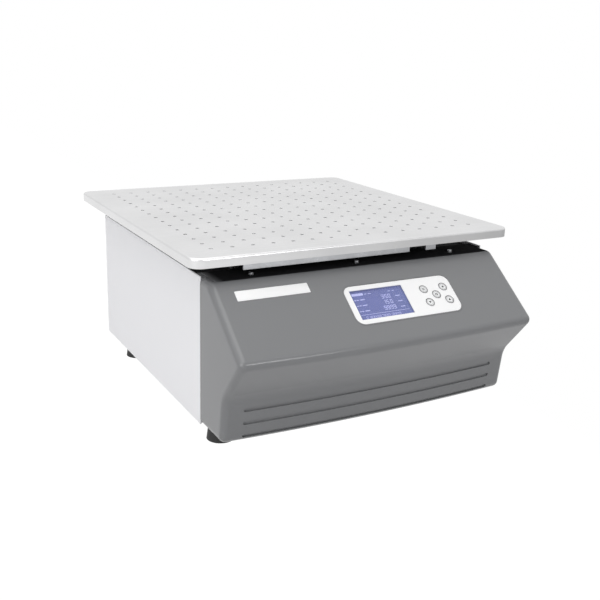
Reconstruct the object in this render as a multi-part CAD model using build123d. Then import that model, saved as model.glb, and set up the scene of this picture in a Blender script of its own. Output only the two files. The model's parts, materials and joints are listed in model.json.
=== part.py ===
from build123d import *
import math
import os

# Bench-top orbital shaker. A perforated tray circles over a low cabinet: a vertical crank
# shaft drives it in the middle, and four idler cranks on pillars keep it from turning.
#
# Sizes are in millimetres. The pieces are modelled about the crank shaft: X to the right,
# Y to the rear, Z up from the bench. place() then moves them into the part's own frame,
# whose origin is the middle of the footprint.

# Platform tray
PLATFORM_SIDE = 457.0
PLATFORM_SHEET = 2.0
RIM_DEPTH = 12.0
PLATFORM_CORNER = 15.0
BEND_RADIUS = 3.0
HOLE_PITCH = 27.0
HOLE_ROWS = 15
HOLE_DIAMETER = 5.5
STUD_DIAMETER = 5.0
STUD_LENGTH = 9.0
STUD_X = 105.0
STUD_Y = 150.0
NUT_WIDTH = 8.0
NUT_HEIGHT = 4.0

# Orbit
ORBIT_RADIUS = 10.0
IDLER_X = 130.0
IDLER_Y = 130.0

# Carrier under the tray
CARRIER_WIDTH = 310.0
CARRIER_LENGTH = 410.0
CARRIER_DEPTH = 23.0
CARRIER_SHEET = 3.0
CARRIER_SIDE_FLANGE = 12.0
CARRIER_WEB_X = 76.0
CARRIER_WEB_DEPTH = 15.0
FLANGE_NOTCH_START = 82.0
FLANGE_NOTCH_END = 108.0
FLANGE_TAB_END = 124.0
FLANGE_NOTCH_HEIGHT = 9.0
BOSS_WALL = 7.5
BOSS_ROOF = 1.0
BEARING_SHOULDER = 3.0
PIN_BEARING_LIFT = 4.0
IDLER_BEARING_LIFT = 0.5

# Cabinet
CABINET_WIDTH = 413.0
CABINET_FRONT = 188.0
CABINET_REAR = 189.0
CABINET_RISE = 1.6
CARRIER_GAP = 6.0
FOOT_CLEARANCE = 14.0
PANEL_SHEET = 1.5
PANEL_FLANGE = 18.0
FLANGE_SPACING = 1.0
FLANGE_RELIEF = 5.0
BASE_THICKNESS = 8.0
DECK_THICKNESS = 6.0
DECK_LEDGE = 16.0
DECK_HOLE_DIAMETER = 53.0
SEAM = 0.2
SIDE_SCREW_STEPS = (-150.0, 20.0)
END_SCREW_X = 120.0

# Feet
FOOT_DIAMETER = 34.0
FOOT_TOP_DIAMETER = 30.0
FOOT_INSET = 19.5
FOOT_SETBACK = 45.5
FOOT_REAR_INSET = 84.0
FOOT_POCKET_DIAMETER = 12.0
FOOT_POCKET_DEPTH = 6.0
FOOT_GAP = 1.0

# Front moulding: its side outline, then its curve in plan
MOULDING_WALL = 3.0
LIP_LEDGE = 23.0
SLOPE_RUN = 88.0
SLOPE_FALL = 68.0
CHIN_RADIUS = 8.0
SLOPE_TOP_RADIUS = 10.0
UNDERCUT = 45.5
ELBOW_HEIGHT = 70.5
ELBOW_RADIUS = 40.0
TOE_SETBACK = 7.0
TOE_RADIUS = 9.0
CHIN_CROWN = 3.0
TOE_CROWN = 8.0
END_RADIUS = 8.0
LIP_OVERLAP = 22.0
RETURN_FLANGE = 15.0
OPEN_BACK = 30.0

# Three grooves across the lower face
GROOVE_COUNT = 3
GROOVE_MARGIN = 25.5
GROOVE_HEIGHT = 4.6
GROOVE_DEPTH = 2.0
GROOVE_PITCH = 17.0
LOWEST_GROOVE = 21.0

# Control panel, measured along X and down the slope
OVERLAY_LENGTH = 155.0
OVERLAY_WIDTH = 55.0
OVERLAY_CORNER = 11.0
OVERLAY_THICKNESS = 1.0
OVERLAY_X = 33.5
OVERLAY_DOWN = 56.7
RECESS_DEPTH = 1.2
SCREEN_LENGTH = 75.5
SCREEN_WIDTH = 42.5
SCREEN_X = 1.5
LENS_MARGIN = 2.0
MODULE_LENGTH = 98.0
MODULE_WIDTH = 66.0
BEZEL_LENGTH = 82.0
BEZEL_WIDTH = 52.0
BEZEL_DEPTH = 7.0
SCREEN_RECESS = 1.0
BOARD_THICKNESS = 1.6
KEY_DIAMETER = 12.0
KEY_X = 83.0
KEY_STEP_X = 15.0
KEY_STEP_DOWN = 10.0
KEY_CLEARANCE = 0.3
KEY_COLLAR = 1.2
KEY_COLLAR_THICKNESS = 1.0
KEY_COLLAR_GAP = 0.05
KEY_STEM_DIAMETER = 5.0
KEY_STEM_LENGTH = 3.0
KEY_TRAVEL = 0.4
SWITCH_SIDE = 6.0
SWITCH_HEIGHT = 4.0
CONTROL_BOARD_LENGTH = 54.0
CONTROL_BOARD_WIDTH = 52.0
BOARD_POST_DIAMETER = 7.0
BOARD_POST_INSET = 4.0
BOARD_SPACING = 1.0

# Crank shaft and its pedestal
SHAFT_DIAMETER = 25.0
COLLAR_DIAMETER = 31.0
CRANK_DISC_DIAMETER = 48.0
CRANK_DISC_THICKNESS = 12.0
CRANK_DISC_DROP = 0.5
CRANK_PIN_DIAMETER = 15.0
PIN_SHOULDER = 2.5
PIN_END = 1.0
SHAFT_END = 3.0
MAIN_BEARING_DIAMETER = 52.0
MAIN_BEARING_WIDTH = 15.0
PIN_BEARING_DIAMETER = 35.0
PIN_BEARING_WIDTH = 11.0
PEDESTAL_HEIGHT = 113.5
PEDESTAL_DIAMETER = 72.0
PEDESTAL_FLANGE_DIAMETER = 120.0
PEDESTAL_FLANGE = 10.0
PEDESTAL_RELIEF = 4.0
PEDESTAL_RIB = 8.0
PEDESTAL_RIB_INSET = 2.0
PEDESTAL_SCREW_CIRCLE = 102.0
LOWER_BEARING_RISE = 7.5

# Belt drive
PULLEY_WIDTH = 20.0
PULLEY_LIFT = 6.0
DRIVEN_PITCH_RADIUS = 72.0
MOTOR_PITCH_RADIUS = 24.0
BELT_TOP_WIDTH = 10.0
BELT_HEIGHT = 6.0
BELT_SIDE_ANGLE = 20.0
BELT_PITCH_DEPTH = 2.5
BELT_CLEARANCE = 0.3
RIM_THICKNESS = 15.0
HUB_DIAMETER = 46.0
PULLEY_WEB = 8.0

# Counterweight
COUNTERWEIGHT_RADIUS = 86.0
COUNTERWEIGHT_THICKNESS = 18.0
COUNTERWEIGHT_LIFT = 4.0
COUNTERWEIGHT_HUB = 56.0
DECK_CLEARANCE = 3.0

# Motor
MOTOR_Y = 115.0
MOTOR_DIAMETER = 76.0
MOTOR_BASE_GAP = 12.5
MOTOR_CAP_LENGTH = 16.0
MOTOR_CAP_STEP = 3.0
MOTOR_PILOT_DIAMETER = 30.0
MOTOR_PILOT_HEIGHT = 3.0
MOTOR_SHAFT_DIAMETER = 12.0
MOTOR_PLATE_SIDE = 110.0
MOTOR_PLATE_THICKNESS = 6.0
MOTOR_PULLEY_GAP = 7.0
MOTOR_SCREW_CIRCLE = 60.0
STANDOFF_SPACING = 92.0
STANDOFF_WIDTH = 16.0

# Idler pillars and cranks
PILLAR_FLANGE_DIAMETER = 60.0
PILLAR_FLANGE = 8.0
PILLAR_DIAMETER = 26.0
PILLAR_HEAD_SIDE = 46.0
PILLAR_HEAD_HEIGHT = 28.0
PILLAR_NECK_DIAMETER = 35.0
PILLAR_NECK_RISE = 1.0
PILLAR_SCREW_SPACING = 44.0
DECK_SCREW_OFFSET = 19.0
IDLER_PIN_DIAMETER = 12.0
IDLER_BEARING_DIAMETER = 28.0
IDLER_BEARING_WIDTH = 12.0
IDLER_ARM_RADIUS = 11.0
IDLER_ARM_THICKNESS = 5.0
IDLER_ARM_LIFT = 1.5

# Circuit board on the base
DRIVE_BOARD_INSET = 10.8
DRIVE_BOARD_Y = -20.0
DRIVE_BOARD_LENGTH = 160.0
DRIVE_BOARD_WIDTH = 88.0
SPACER_HEIGHT = 8.0
SPACER_INSET = 6.0
SPACER_DIAMETER = 7.0
CAPACITOR_DIAMETER = 18.0
CAPACITOR_HEIGHT = 30.0
CAPACITOR_PLACES = ((-18.0, -30.0), (-18.0, -4.0))

# Its box-shaped parts: X from and to, Y from and to about the board's middle, height
TRANSFORMER = (-30.0, 12.0, 20.0, 62.0, 34.0)
HEAT_SINK = (22.0, 30.0, -60.0, 10.0, 40.0)
CONNECTOR = (-32.0, -12.0, -70.0, -58.0, 12.0)

# Mains inlet and switch on the rear panel
INLET_INSET = 41.5
INLET_HEIGHT = 62.0
INLET_FLANGE_LENGTH = 48.0
INLET_FLANGE_HEIGHT = 37.0
INLET_FLANGE_THICKNESS = 2.5
INLET_BODY_LENGTH = 27.0
INLET_BODY_HEIGHT = 33.0
INLET_BODY_DEPTH = 22.0
SOCKET_LENGTH = 24.4
SOCKET_HEIGHT = 16.4
SOCKET_DEPTH = 16.5
SOCKET_RISE = 6.8
SOCKET_CHAMFER = 3.0
BLADE_WIDTH = 2.0
BLADE_HEIGHT = 4.0
BLADE_SPACING = 7.0
BLADE_STEP = 2.0
BLADE_SETBACK = 4.5
DRAWER_LENGTH = 23.4
DRAWER_HEIGHT = 7.6
DRAWER_DEPTH = 19.5
DRAWER_DROP = 9.3
DRAWER_LIP = 1.0
DRAWER_LIP_THICKNESS = 2.0
DRAWER_LIP_GAP = 0.05
DRAWER_WALL = 1.0
DRAWER_CLEARANCE = 0.2
FUSE_DIAMETER = 5.0
FUSE_LENGTH = 20.0
FUSE_CLEARANCE = 0.3
INLET_SCREW_SPACING = 40.0
SWITCH_HEIGHT_ON_PANEL = 108.0
SWITCH_FLANGE_WIDTH = 25.0
SWITCH_FLANGE_HEIGHT = 32.0
SWITCH_FLANGE_THICKNESS = 2.0
SWITCH_BODY_WIDTH = 21.0
SWITCH_BODY_HEIGHT = 27.0
SWITCH_BODY_DEPTH = 16.0
ROCKER_WIDTH = 16.8
ROCKER_HALF_HEIGHT = 7.6
ROCKER_MIDDLE = 6.5
ROCKER_ENDS = 8.0
ROCKER_BACK = 4.0
ROCKER_TILT = 11.0
ROCKER_CLEARANCE = 0.4
ROCKER_RECESS = 1.0
ROCKER_STUB_DIAMETER = 3.0
ROCKER_STUBS = 0.6

# Vents in the rear panel
VENT_COUNT = 9
VENT_PITCH = 8.0
VENT_LENGTH = 60.0
VENT_HEIGHT = 3.0
VENT_X = -70.0
VENT_DROP = 41.6

# Fasteners: shank diameter, head diameter, head height, shank length
M3_SCREW = (3.0, 6.4, 3.0, 9.0)
CABINET_SCREW = (4.0, 8.0, 2.4, 7.0)
BASE_SCREW = (6.0, 10.0, 5.0, 14.0)
MOTOR_SCREW = (5.0, 9.0, 3.5, 14.0)
FOOT_SCREW = (5.0, 9.0, 3.5, 15.0)
BOARD_SCREW = (2.5, 5.0, 2.0, 5.0)
GRUB_SCREW = (5.0, 5.0, 0.0, 9.0)
LIP_SCREW_X = 146.0
LIP_SCREW_OFFSET = 9.0
HEAD_SIDES = 12
SHANK_SIDES = 8
HOLE_CLEARANCE = 0.2

# Fits: radial clearance of a seat in one body, and of a bearing on a turning pin
SEAT_GAP = 0.02
RUNNING_GAP = 0.03
STACK_GAP = 0.1

# How far a cutter reaches past a surface, or a joined solid into its neighbour
OVERRUN = 1.0

# Heights that follow from the sizes above, from the bench upwards
BASE_BOTTOM = FOOT_CLEARANCE + PANEL_SHEET
BASE_TOP = BASE_BOTTOM + BASE_THICKNESS
PEDESTAL_TOP = BASE_TOP + PEDESTAL_HEIGHT
PULLEY_BOTTOM = PEDESTAL_TOP + PULLEY_LIFT
PULLEY_TOP = PULLEY_BOTTOM + PULLEY_WIDTH
BELT_MIDDLE = PULLEY_BOTTOM + PULLEY_WIDTH / 2
MOTOR_PLATE_HEIGHT = PULLEY_BOTTOM - MOTOR_PULLEY_GAP - MOTOR_PLATE_THICKNESS
MOTOR_BOTTOM = BASE_TOP + MOTOR_BASE_GAP
COUNTERWEIGHT_BOTTOM = PULLEY_TOP + COUNTERWEIGHT_LIFT
DECK_BOTTOM = COUNTERWEIGHT_BOTTOM + COUNTERWEIGHT_THICKNESS + DECK_CLEARANCE
DECK_TOP = DECK_BOTTOM + DECK_THICKNESS
MOULDING_TOP = DECK_TOP + MOULDING_WALL
CABINET_TOP = MOULDING_TOP + CABINET_RISE
CRANK_DISC_BOTTOM = DECK_BOTTOM - CRANK_DISC_DROP
CRANK_DISC_TOP = CRANK_DISC_BOTTOM + CRANK_DISC_THICKNESS
IDLER_ARM_BOTTOM = DECK_TOP + PILLAR_NECK_RISE + IDLER_ARM_LIFT
IDLER_ARM_TOP = IDLER_ARM_BOTTOM + IDLER_ARM_THICKNESS
CARRIER_BOTTOM = MOULDING_TOP + CARRIER_GAP
PLATFORM_UNDER = CARRIER_BOTTOM + CARRIER_DEPTH
CARRIER_UNDER = PLATFORM_UNDER - CARRIER_SHEET
PLATFORM_TOP = PLATFORM_UNDER + PLATFORM_SHEET

# Widths and lengths that follow from the sizes above
HALF_WIDTH = CABINET_WIDTH / 2
INNER_WIDTH = HALF_WIDTH - PANEL_SHEET - SEAM
FOOT_X = HALF_WIDTH - FOOT_INSET
INLET_X = HALF_WIDTH - INLET_INSET
DRIVE_BOARD_X = DRIVE_BOARD_WIDTH / 2 + DRIVE_BOARD_INSET - INNER_WIDTH
GROOVE_LENGTH = CABINET_WIDTH - 2 * GROOVE_MARGIN
REAR_INNER = CABINET_REAR - PANEL_SHEET - SEAM
DECK_FRONT = CABINET_FRONT + DECK_LEDGE
LIP_REAR = CABINET_FRONT - LIP_OVERLAP
LIP_SCREW_Y = -CABINET_FRONT - LIP_SCREW_OFFSET
SLOPE_START = CABINET_FRONT + LIP_LEDGE
CHIN_REACH = SLOPE_START + SLOPE_RUN + CHIN_CROWN
ELBOW_REACH = CHIN_REACH - UNDERCUT
TOE_REACH = ELBOW_REACH - TOE_SETBACK
FOOT_FRONT = TOE_REACH - FOOT_SETBACK
FOOT_REAR = CABINET_REAR - FOOT_REAR_INSET
SLOPE_ANGLE = math.degrees(math.atan2(SLOPE_FALL, SLOPE_RUN))
DRIVE_AXIS_Y = (CHIN_REACH - PLATFORM_SIDE / 2 - ORBIT_RADIUS) / 2

IDLER_PLACES = {
    "front_left": (-IDLER_X, -IDLER_Y),
    "front_right": (IDLER_X, -IDLER_Y),
    "rear_left": (-IDLER_X, IDLER_Y),
    "rear_right": (IDLER_X, IDLER_Y),
}
FOOT_PLACES = {
    "front_left": (-FOOT_X, -FOOT_FRONT),
    "front_right": (FOOT_X, -FOOT_FRONT),
    "rear_left": (-FOOT_X, FOOT_REAR),
    "rear_right": (FOOT_X, FOOT_REAR),
}
KEY_PLACES = {
    "key_upper_left": (-1, 1),
    "key_upper_right": (1, 1),
    "key_middle": (0, 0),
    "key_lower_left": (-1, -1),
    "key_lower_right": (1, -1),
}


# General helpers


def block(x_low, x_high, y_low, y_high, z_low, z_high):
    size = (x_high - x_low, y_high - y_low, z_high - z_low)
    return Pos(x_low, y_low, z_low) * Box(*size, align=(Align.MIN, Align.MIN, Align.MIN))


def disc(radius, z_low, z_high, x=0.0, y=0.0):
    solid = Cylinder(radius, z_high - z_low, align=(Align.CENTER, Align.CENTER, Align.MIN))
    return Pos(x, y, z_low) * solid


def square_places(reach_x, reach_y):
    return [(x, y) for x in (-reach_x, reach_x) for y in (-reach_y, reach_y)]


def prism(radius, sides, z_low, z_high, x=0.0, y=0.0):
    outline = RegularPolygon(radius, sides)
    return Pos(x, y, z_low) * extrude(outline, z_high - z_low)


def ring(outer_radius, inner_radius, z_low, z_high, x=0.0, y=0.0):
    bore = disc(inner_radius, z_low - OVERRUN, z_high + OVERRUN, x, y)
    return disc(outer_radius, z_low, z_high, x, y) - bore


def turned(points):
    """A solid turned about Z from (radius, height) points."""
    outline = Plane.XZ * make_face(Polyline(*points, close=True))
    return revolve(outline, Axis.Z)


def screw(kind):
    """A screw along Z, with the underside of its head at the origin."""
    shank, head, head_height, length = kind
    body = prism(shank / 2, SHANK_SIDES, -length, 0)
    if head_height:
        body += prism(head / 2, HEAD_SIDES, 0, head_height)
    return body


def screw_hole(kind, depth, above=1.0):
    """What a screw's shank needs below its head's underside, and a little above it."""
    shank, _head, _head_height, _length = kind
    return prism(shank / 2 + HOLE_CLEARANCE, SHANK_SIDES, -depth, above)


def blind_hole(kind):
    return screw_hole(kind, kind[3] + HOLE_CLEARANCE, above=0.0)


def place(*solids):
    """The solids moved into the part's own frame."""
    return Compound(children=[Pos(0, DRIVE_AXIS_Y, 0) * one for solid in solids for one in solid.solids()])


def write(name, *solids):
    export_step(place(*solids), f"parts/{name}.step")


# Platform: tray, carrier and their bearings, about the tray's own middle


def hole_places():
    reach = HOLE_PITCH * (HOLE_ROWS - 1) / 2
    steps = [HOLE_PITCH * index - reach for index in range(HOLE_ROWS)]
    return [(x, y) for x in steps for y in steps], reach


def stud_places():
    return square_places(STUD_X, STUD_Y)


def platform_plate():
    """Tray with a folded rim, a grid of holes, and welded studs under it."""
    inner_side = PLATFORM_SIDE - 2 * PLATFORM_SHEET
    bottom = PLATFORM_TOP - RIM_DEPTH
    outside = extrude(RectangleRounded(PLATFORM_SIDE, PLATFORM_SIDE, PLATFORM_CORNER), RIM_DEPTH)
    outside = fillet(outside.edges().group_by(Axis.Z)[-1], BEND_RADIUS)
    inner_corner = PLATFORM_CORNER - PLATFORM_SHEET
    inside = extrude(RectangleRounded(inner_side, inner_side, inner_corner), RIM_DEPTH - PLATFORM_SHEET)
    inside = fillet(inside.edges().group_by(Axis.Z)[-1], BEND_RADIUS - PLATFORM_SHEET)
    tray = outside - inside
    places, reach = hole_places()
    radius = HOLE_DIAMETER / 2
    holes = []
    for x, y in places:
        at_corner = abs(x) == reach and abs(y) == reach
        if at_corner:
            holes.append(disc(radius, 0, RIM_DEPTH + OVERRUN, x, y))
        else:
            holes.append(prism(radius, 6, 0, RIM_DEPTH + OVERRUN, x, y))
    tray = Pos(0, 0, bottom) * (tray - holes)
    for x, y in stud_places():
        tray += prism(STUD_DIAMETER / 2, SHANK_SIDES, PLATFORM_UNDER - STUD_LENGTH, PLATFORM_UNDER, x, y)
    return tray


def platform_nuts():
    nuts = []
    radius = NUT_WIDTH / math.sqrt(3)
    for x, y in stud_places():
        nut = prism(radius, 6, CARRIER_UNDER - NUT_HEIGHT, CARRIER_UNDER, x, y)
        nut -= prism(STUD_DIAMETER / 2 + SEAT_GAP, SHANK_SIDES, CARRIER_BOTTOM, PLATFORM_TOP, x, y)
        nuts.append(nut)
    return nuts


def bearing_boss(bearing_diameter, bearing_width, bearing_bottom, x, y):
    """A welded cup that takes a bearing from below, and the space inside it."""
    seat = bearing_diameter / 2 + SEAT_GAP
    cup = disc(seat + BOSS_WALL, bearing_bottom, CARRIER_UNDER, x, y)
    space = disc(seat, bearing_bottom - OVERRUN, bearing_bottom + bearing_width, x, y)
    space += disc(seat - BEARING_SHOULDER, bearing_bottom, CARRIER_UNDER - BOSS_ROOF, x, y)
    return cup, space


def platform_carrier():
    """Folded steel pan with webs and five welded bearing cups."""
    half_width = CARRIER_WIDTH / 2
    half_length = CARRIER_LENGTH / 2
    sheet = CARRIER_SHEET
    pan = block(-half_width, half_width, -half_length, half_length, CARRIER_UNDER, PLATFORM_UNDER)
    for low_y in (-half_length, half_length - sheet):
        pan += block(-half_width, half_width, low_y, low_y + sheet, CARRIER_BOTTOM, PLATFORM_UNDER)
    for side in (-1, 1):
        edge = side * (half_width - sheet / 2)
        low = PLATFORM_UNDER - CARRIER_SIDE_FLANGE
        pan += block(edge - sheet / 2, edge + sheet / 2, -half_length, half_length, low, PLATFORM_UNDER)
        web = side * CARRIER_WEB_X
        low = CARRIER_UNDER - CARRIER_WEB_DEPTH
        pan += block(web - sheet / 2, web + sheet / 2, -half_length, half_length, low, CARRIER_UNDER)
    notch_top = CARRIER_BOTTOM + FLANGE_NOTCH_HEIGHT
    front = (-half_length - OVERRUN, -half_length + sheet, CARRIER_BOTTOM - OVERRUN, notch_top)
    pan -= block(FLANGE_NOTCH_START, FLANGE_NOTCH_END, *front)
    pan -= block(FLANGE_TAB_END, half_width + OVERRUN, *front)
    spaces = []
    cup, space = bearing_boss(PIN_BEARING_DIAMETER, PIN_BEARING_WIDTH, pin_bearing_bottom(), 0, 0)
    pan += cup
    spaces.append(space)
    for x, y in IDLER_PLACES.values():
        bottom = carrier_bearing_bottom()
        cup, space = bearing_boss(IDLER_BEARING_DIAMETER, IDLER_BEARING_WIDTH, bottom, x, y)
        pan += cup
        spaces.append(space)
    for x, y in stud_places():
        hole = STUD_DIAMETER / 2 + HOLE_CLEARANCE
        spaces.append(prism(hole, SHANK_SIDES, CARRIER_UNDER - OVERRUN, PLATFORM_UNDER + OVERRUN, x, y))
    return pan - spaces


def pin_bearing_bottom():
    return CARRIER_BOTTOM + PIN_BEARING_LIFT


def carrier_bearing_bottom():
    return CARRIER_BOTTOM + IDLER_BEARING_LIFT


def bearing(outer_diameter, inner_diameter, width, bottom, x=0.0, y=0.0):
    """A closed ball bearing: outer race, inner race and shields in one ring."""
    return ring(outer_diameter / 2, inner_diameter / 2 + RUNNING_GAP, bottom, bottom + width, x, y)


def idler_bearings(bottom):
    return [bearing(IDLER_BEARING_DIAMETER, IDLER_PIN_DIAMETER, IDLER_BEARING_WIDTH, bottom, x, y)
            for x, y in IDLER_PLACES.values()]


def crank_pin_bearing():
    return bearing(PIN_BEARING_DIAMETER, CRANK_PIN_DIAMETER, PIN_BEARING_WIDTH, pin_bearing_bottom())


def main_bearings():
    levels = (BASE_TOP + LOWER_BEARING_RISE, PEDESTAL_TOP - MAIN_BEARING_WIDTH)
    return [bearing(MAIN_BEARING_DIAMETER, SHAFT_DIAMETER, MAIN_BEARING_WIDTH, level) for level in levels]


# Crank shaft group


def crank_shaft():
    """Shaft, collar, disc and offset pin turned in one piece, at rest with the pin to the rear."""
    radius = SHAFT_DIAMETER / 2
    shaft = disc(radius, BASE_TOP + LOWER_BEARING_RISE - SHAFT_END, CRANK_DISC_BOTTOM)
    shaft += disc(COLLAR_DIAMETER / 2, PEDESTAL_TOP + STACK_GAP, PULLEY_BOTTOM)
    shaft += disc(CRANK_DISC_DIAMETER / 2, CRANK_DISC_BOTTOM, CRANK_DISC_TOP)
    pin = CRANK_PIN_DIAMETER / 2
    bottom = pin_bearing_bottom()
    shaft += disc(pin + PIN_SHOULDER, CRANK_DISC_TOP, bottom - STACK_GAP, 0, ORBIT_RADIUS)
    shaft += disc(pin, CRANK_DISC_TOP, bottom + PIN_BEARING_WIDTH + PIN_END, 0, ORBIT_RADIUS)
    return shaft


def groove_half_width(depth):
    """Half the width of the belt's section at a depth below its top."""
    return BELT_TOP_WIDTH / 2 - depth * math.tan(math.radians(BELT_SIDE_ANGLE))


def pulley(pitch_radius, bore_diameter, hub_diameter):
    """A V-belt pulley with a hub, a web where there is room for one, and a grooved rim."""
    rim = pitch_radius + BELT_PITCH_DEPTH
    bore = bore_diameter / 2 + SEAT_GAP
    top = groove_half_width(0) + BELT_CLEARANCE
    floor_depth = BELT_HEIGHT + 2 * BELT_CLEARANCE
    floor = groove_half_width(floor_depth) + BELT_CLEARANCE
    half = PULLEY_WIDTH / 2
    outline = [(bore, -half), (rim, -half), (rim, -top), (rim - floor_depth, -floor)]
    outline += [(rim - floor_depth, floor), (rim, top), (rim, half), (bore, half)]
    solid = turned([(radius, BELT_MIDDLE + height) for radius, height in outline])
    rim_inside = rim - RIM_THICKNESS
    hub = hub_diameter / 2
    if rim_inside > hub:
        pocket_depth = (PULLEY_WIDTH - PULLEY_WEB) / 2
        solid -= ring(rim_inside, hub, PULLEY_TOP - pocket_depth, PULLEY_TOP + OVERRUN)
        solid -= ring(rim_inside, hub, PULLEY_BOTTOM - OVERRUN, PULLEY_BOTTOM + pocket_depth)
    return solid


def counterweight():
    """Half disc opposite the pin, on a clamping hub."""
    top = COUNTERWEIGHT_BOTTOM + COUNTERWEIGHT_THICKNESS
    radius = COUNTERWEIGHT_RADIUS
    weight = disc(radius, COUNTERWEIGHT_BOTTOM, top)
    weight -= block(-radius, radius, 0, radius, COUNTERWEIGHT_BOTTOM - OVERRUN, top + OVERRUN)
    weight += disc(COUNTERWEIGHT_HUB / 2, COUNTERWEIGHT_BOTTOM, top)
    weight -= disc(SHAFT_DIAMETER / 2 + SEAT_GAP, COUNTERWEIGHT_BOTTOM - OVERRUN, top + OVERRUN)
    return weight - grub_seat(COUNTERWEIGHT_HUB / 2, COUNTERWEIGHT_BOTTOM + COUNTERWEIGHT_THICKNESS / 2)


def grub_place(hub_radius, height):
    """A grub screw's place: radial, on the rear side of a hub, its outer end flush."""
    return Pos(0, hub_radius, height) * Rot(-90, 0, 0)


def grub_seat(hub_radius, height):
    depth = hub_radius - SHAFT_DIAMETER / 2
    return grub_place(hub_radius, height) * screw_hole(GRUB_SCREW, depth, above=2 * OVERRUN)


def grub_screws():
    heights = COUNTERWEIGHT_BOTTOM + COUNTERWEIGHT_THICKNESS / 2
    return [grub_place(COUNTERWEIGHT_HUB / 2, heights) * screw(GRUB_SCREW)]


# Motor and belt


def motor_body():
    """Round motor with stepped end caps, hung by its front face under the plate."""
    radius = MOTOR_DIAMETER / 2
    cap = radius - MOTOR_CAP_STEP
    top = MOTOR_PLATE_HEIGHT
    bottom = MOTOR_BOTTOM
    pilot = MOTOR_PILOT_DIAMETER / 2
    shaft = MOTOR_SHAFT_DIAMETER / 2 + RUNNING_GAP
    outline = [(0, bottom), (cap, bottom), (cap, bottom + MOTOR_CAP_LENGTH)]
    outline += [(radius, bottom + MOTOR_CAP_LENGTH), (radius, top - MOTOR_CAP_LENGTH)]
    outline += [(cap, top - MOTOR_CAP_LENGTH), (cap, top), (pilot, top), (pilot, top + MOTOR_PILOT_HEIGHT)]
    outline += [(shaft, top + MOTOR_PILOT_HEIGHT), (shaft, bottom + MOTOR_CAP_LENGTH)]
    outline.append((0, bottom + MOTOR_CAP_LENGTH))
    body = Pos(0, MOTOR_Y, 0) * turned(outline)
    return body - [place_on_motor(at, MOTOR_PLATE_HEIGHT + MOTOR_PLATE_THICKNESS) * blind_hole(MOTOR_SCREW)
                   for at in motor_screw_places()]


def motor_screw_places():
    reach = MOTOR_SCREW_CIRCLE / 2 / math.sqrt(2)
    return square_places(reach, reach)


def standoff_places():
    return square_places(STANDOFF_SPACING / 2, STANDOFF_SPACING / 2)


def place_on_motor(at, height):
    return Pos(at[0], MOTOR_Y + at[1], height)


def motor_plate():
    half = MOTOR_PLATE_SIDE / 2
    low = MOTOR_PLATE_HEIGHT
    top = low + MOTOR_PLATE_THICKNESS
    plate = block(-half, half, MOTOR_Y - half, MOTOR_Y + half, low, top)
    cuts = [disc(MOTOR_PILOT_DIAMETER / 2 + HOLE_CLEARANCE, low - OVERRUN, top + OVERRUN, 0, MOTOR_Y)]
    for at in motor_screw_places() + standoff_places():
        cuts.append(place_on_motor(at, top) * screw_hole(MOTOR_SCREW, MOTOR_PLATE_THICKNESS + OVERRUN))
    return plate - cuts


def motor_screws():
    top = MOTOR_PLATE_HEIGHT + MOTOR_PLATE_THICKNESS
    return [place_on_motor(at, top) * screw(MOTOR_SCREW) for at in motor_screw_places() + standoff_places()]


def motor_standoffs():
    posts = []
    radius = STANDOFF_WIDTH / math.sqrt(3)
    top = MOTOR_PLATE_HEIGHT + MOTOR_PLATE_THICKNESS
    for at in standoff_places():
        post = prism(radius, 6, BASE_TOP, MOTOR_PLATE_HEIGHT, at[0], MOTOR_Y + at[1])
        posts.append(post - place_on_motor(at, top) * blind_hole(MOTOR_SCREW))
    return posts


def motor_shaft():
    low = MOTOR_BOTTOM + MOTOR_CAP_LENGTH + STACK_GAP
    return disc(MOTOR_SHAFT_DIAMETER / 2, low, PULLEY_TOP + PIN_END, 0, MOTOR_Y)


def belt_section(pulley_radius):
    """The belt's section in the plane of radius and height, at a pulley's rim."""
    top = groove_half_width(0)
    floor = groove_half_width(BELT_HEIGHT)
    inner = pulley_radius - BELT_HEIGHT
    points = [(inner, -floor), (pulley_radius, -top), (pulley_radius, top), (inner, floor)]
    return [(radius, BELT_MIDDLE + height) for radius, height in points]


def drive_belt():
    """V-belt: an arc round each pulley and two straight runs tangent to both."""
    big = DRIVEN_PITCH_RADIUS + BELT_PITCH_DEPTH
    small = MOTOR_PITCH_RADIUS + BELT_PITCH_DEPTH
    lean = math.degrees(math.asin((big - small) / MOTOR_Y))
    run = math.sqrt(MOTOR_Y ** 2 - (big - small) ** 2)
    belt = None
    for radius, centre, start, sweep in (
        (big, 0.0, 180 - lean, 180 + 2 * lean),
        (small, MOTOR_Y, lean, 180 - 2 * lean),
    ):
        face = Plane.XZ * make_face(Polyline(*belt_section(radius), close=True))
        arc = Pos(0, centre, 0) * Rot(0, 0, start) * revolve(face, Axis.Z, sweep)
        belt = arc if belt is None else belt + arc
    for side in (-1, 1):
        section = [(side * radius, height) for radius, height in belt_section(big)]
        face = Plane.XZ * make_face(Polyline(*section, close=True))
        straight = extrude(face, -run)
        belt += Rot(0, 0, side * lean) * straight
    return belt


# Pedestal and pillars on the base


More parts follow.
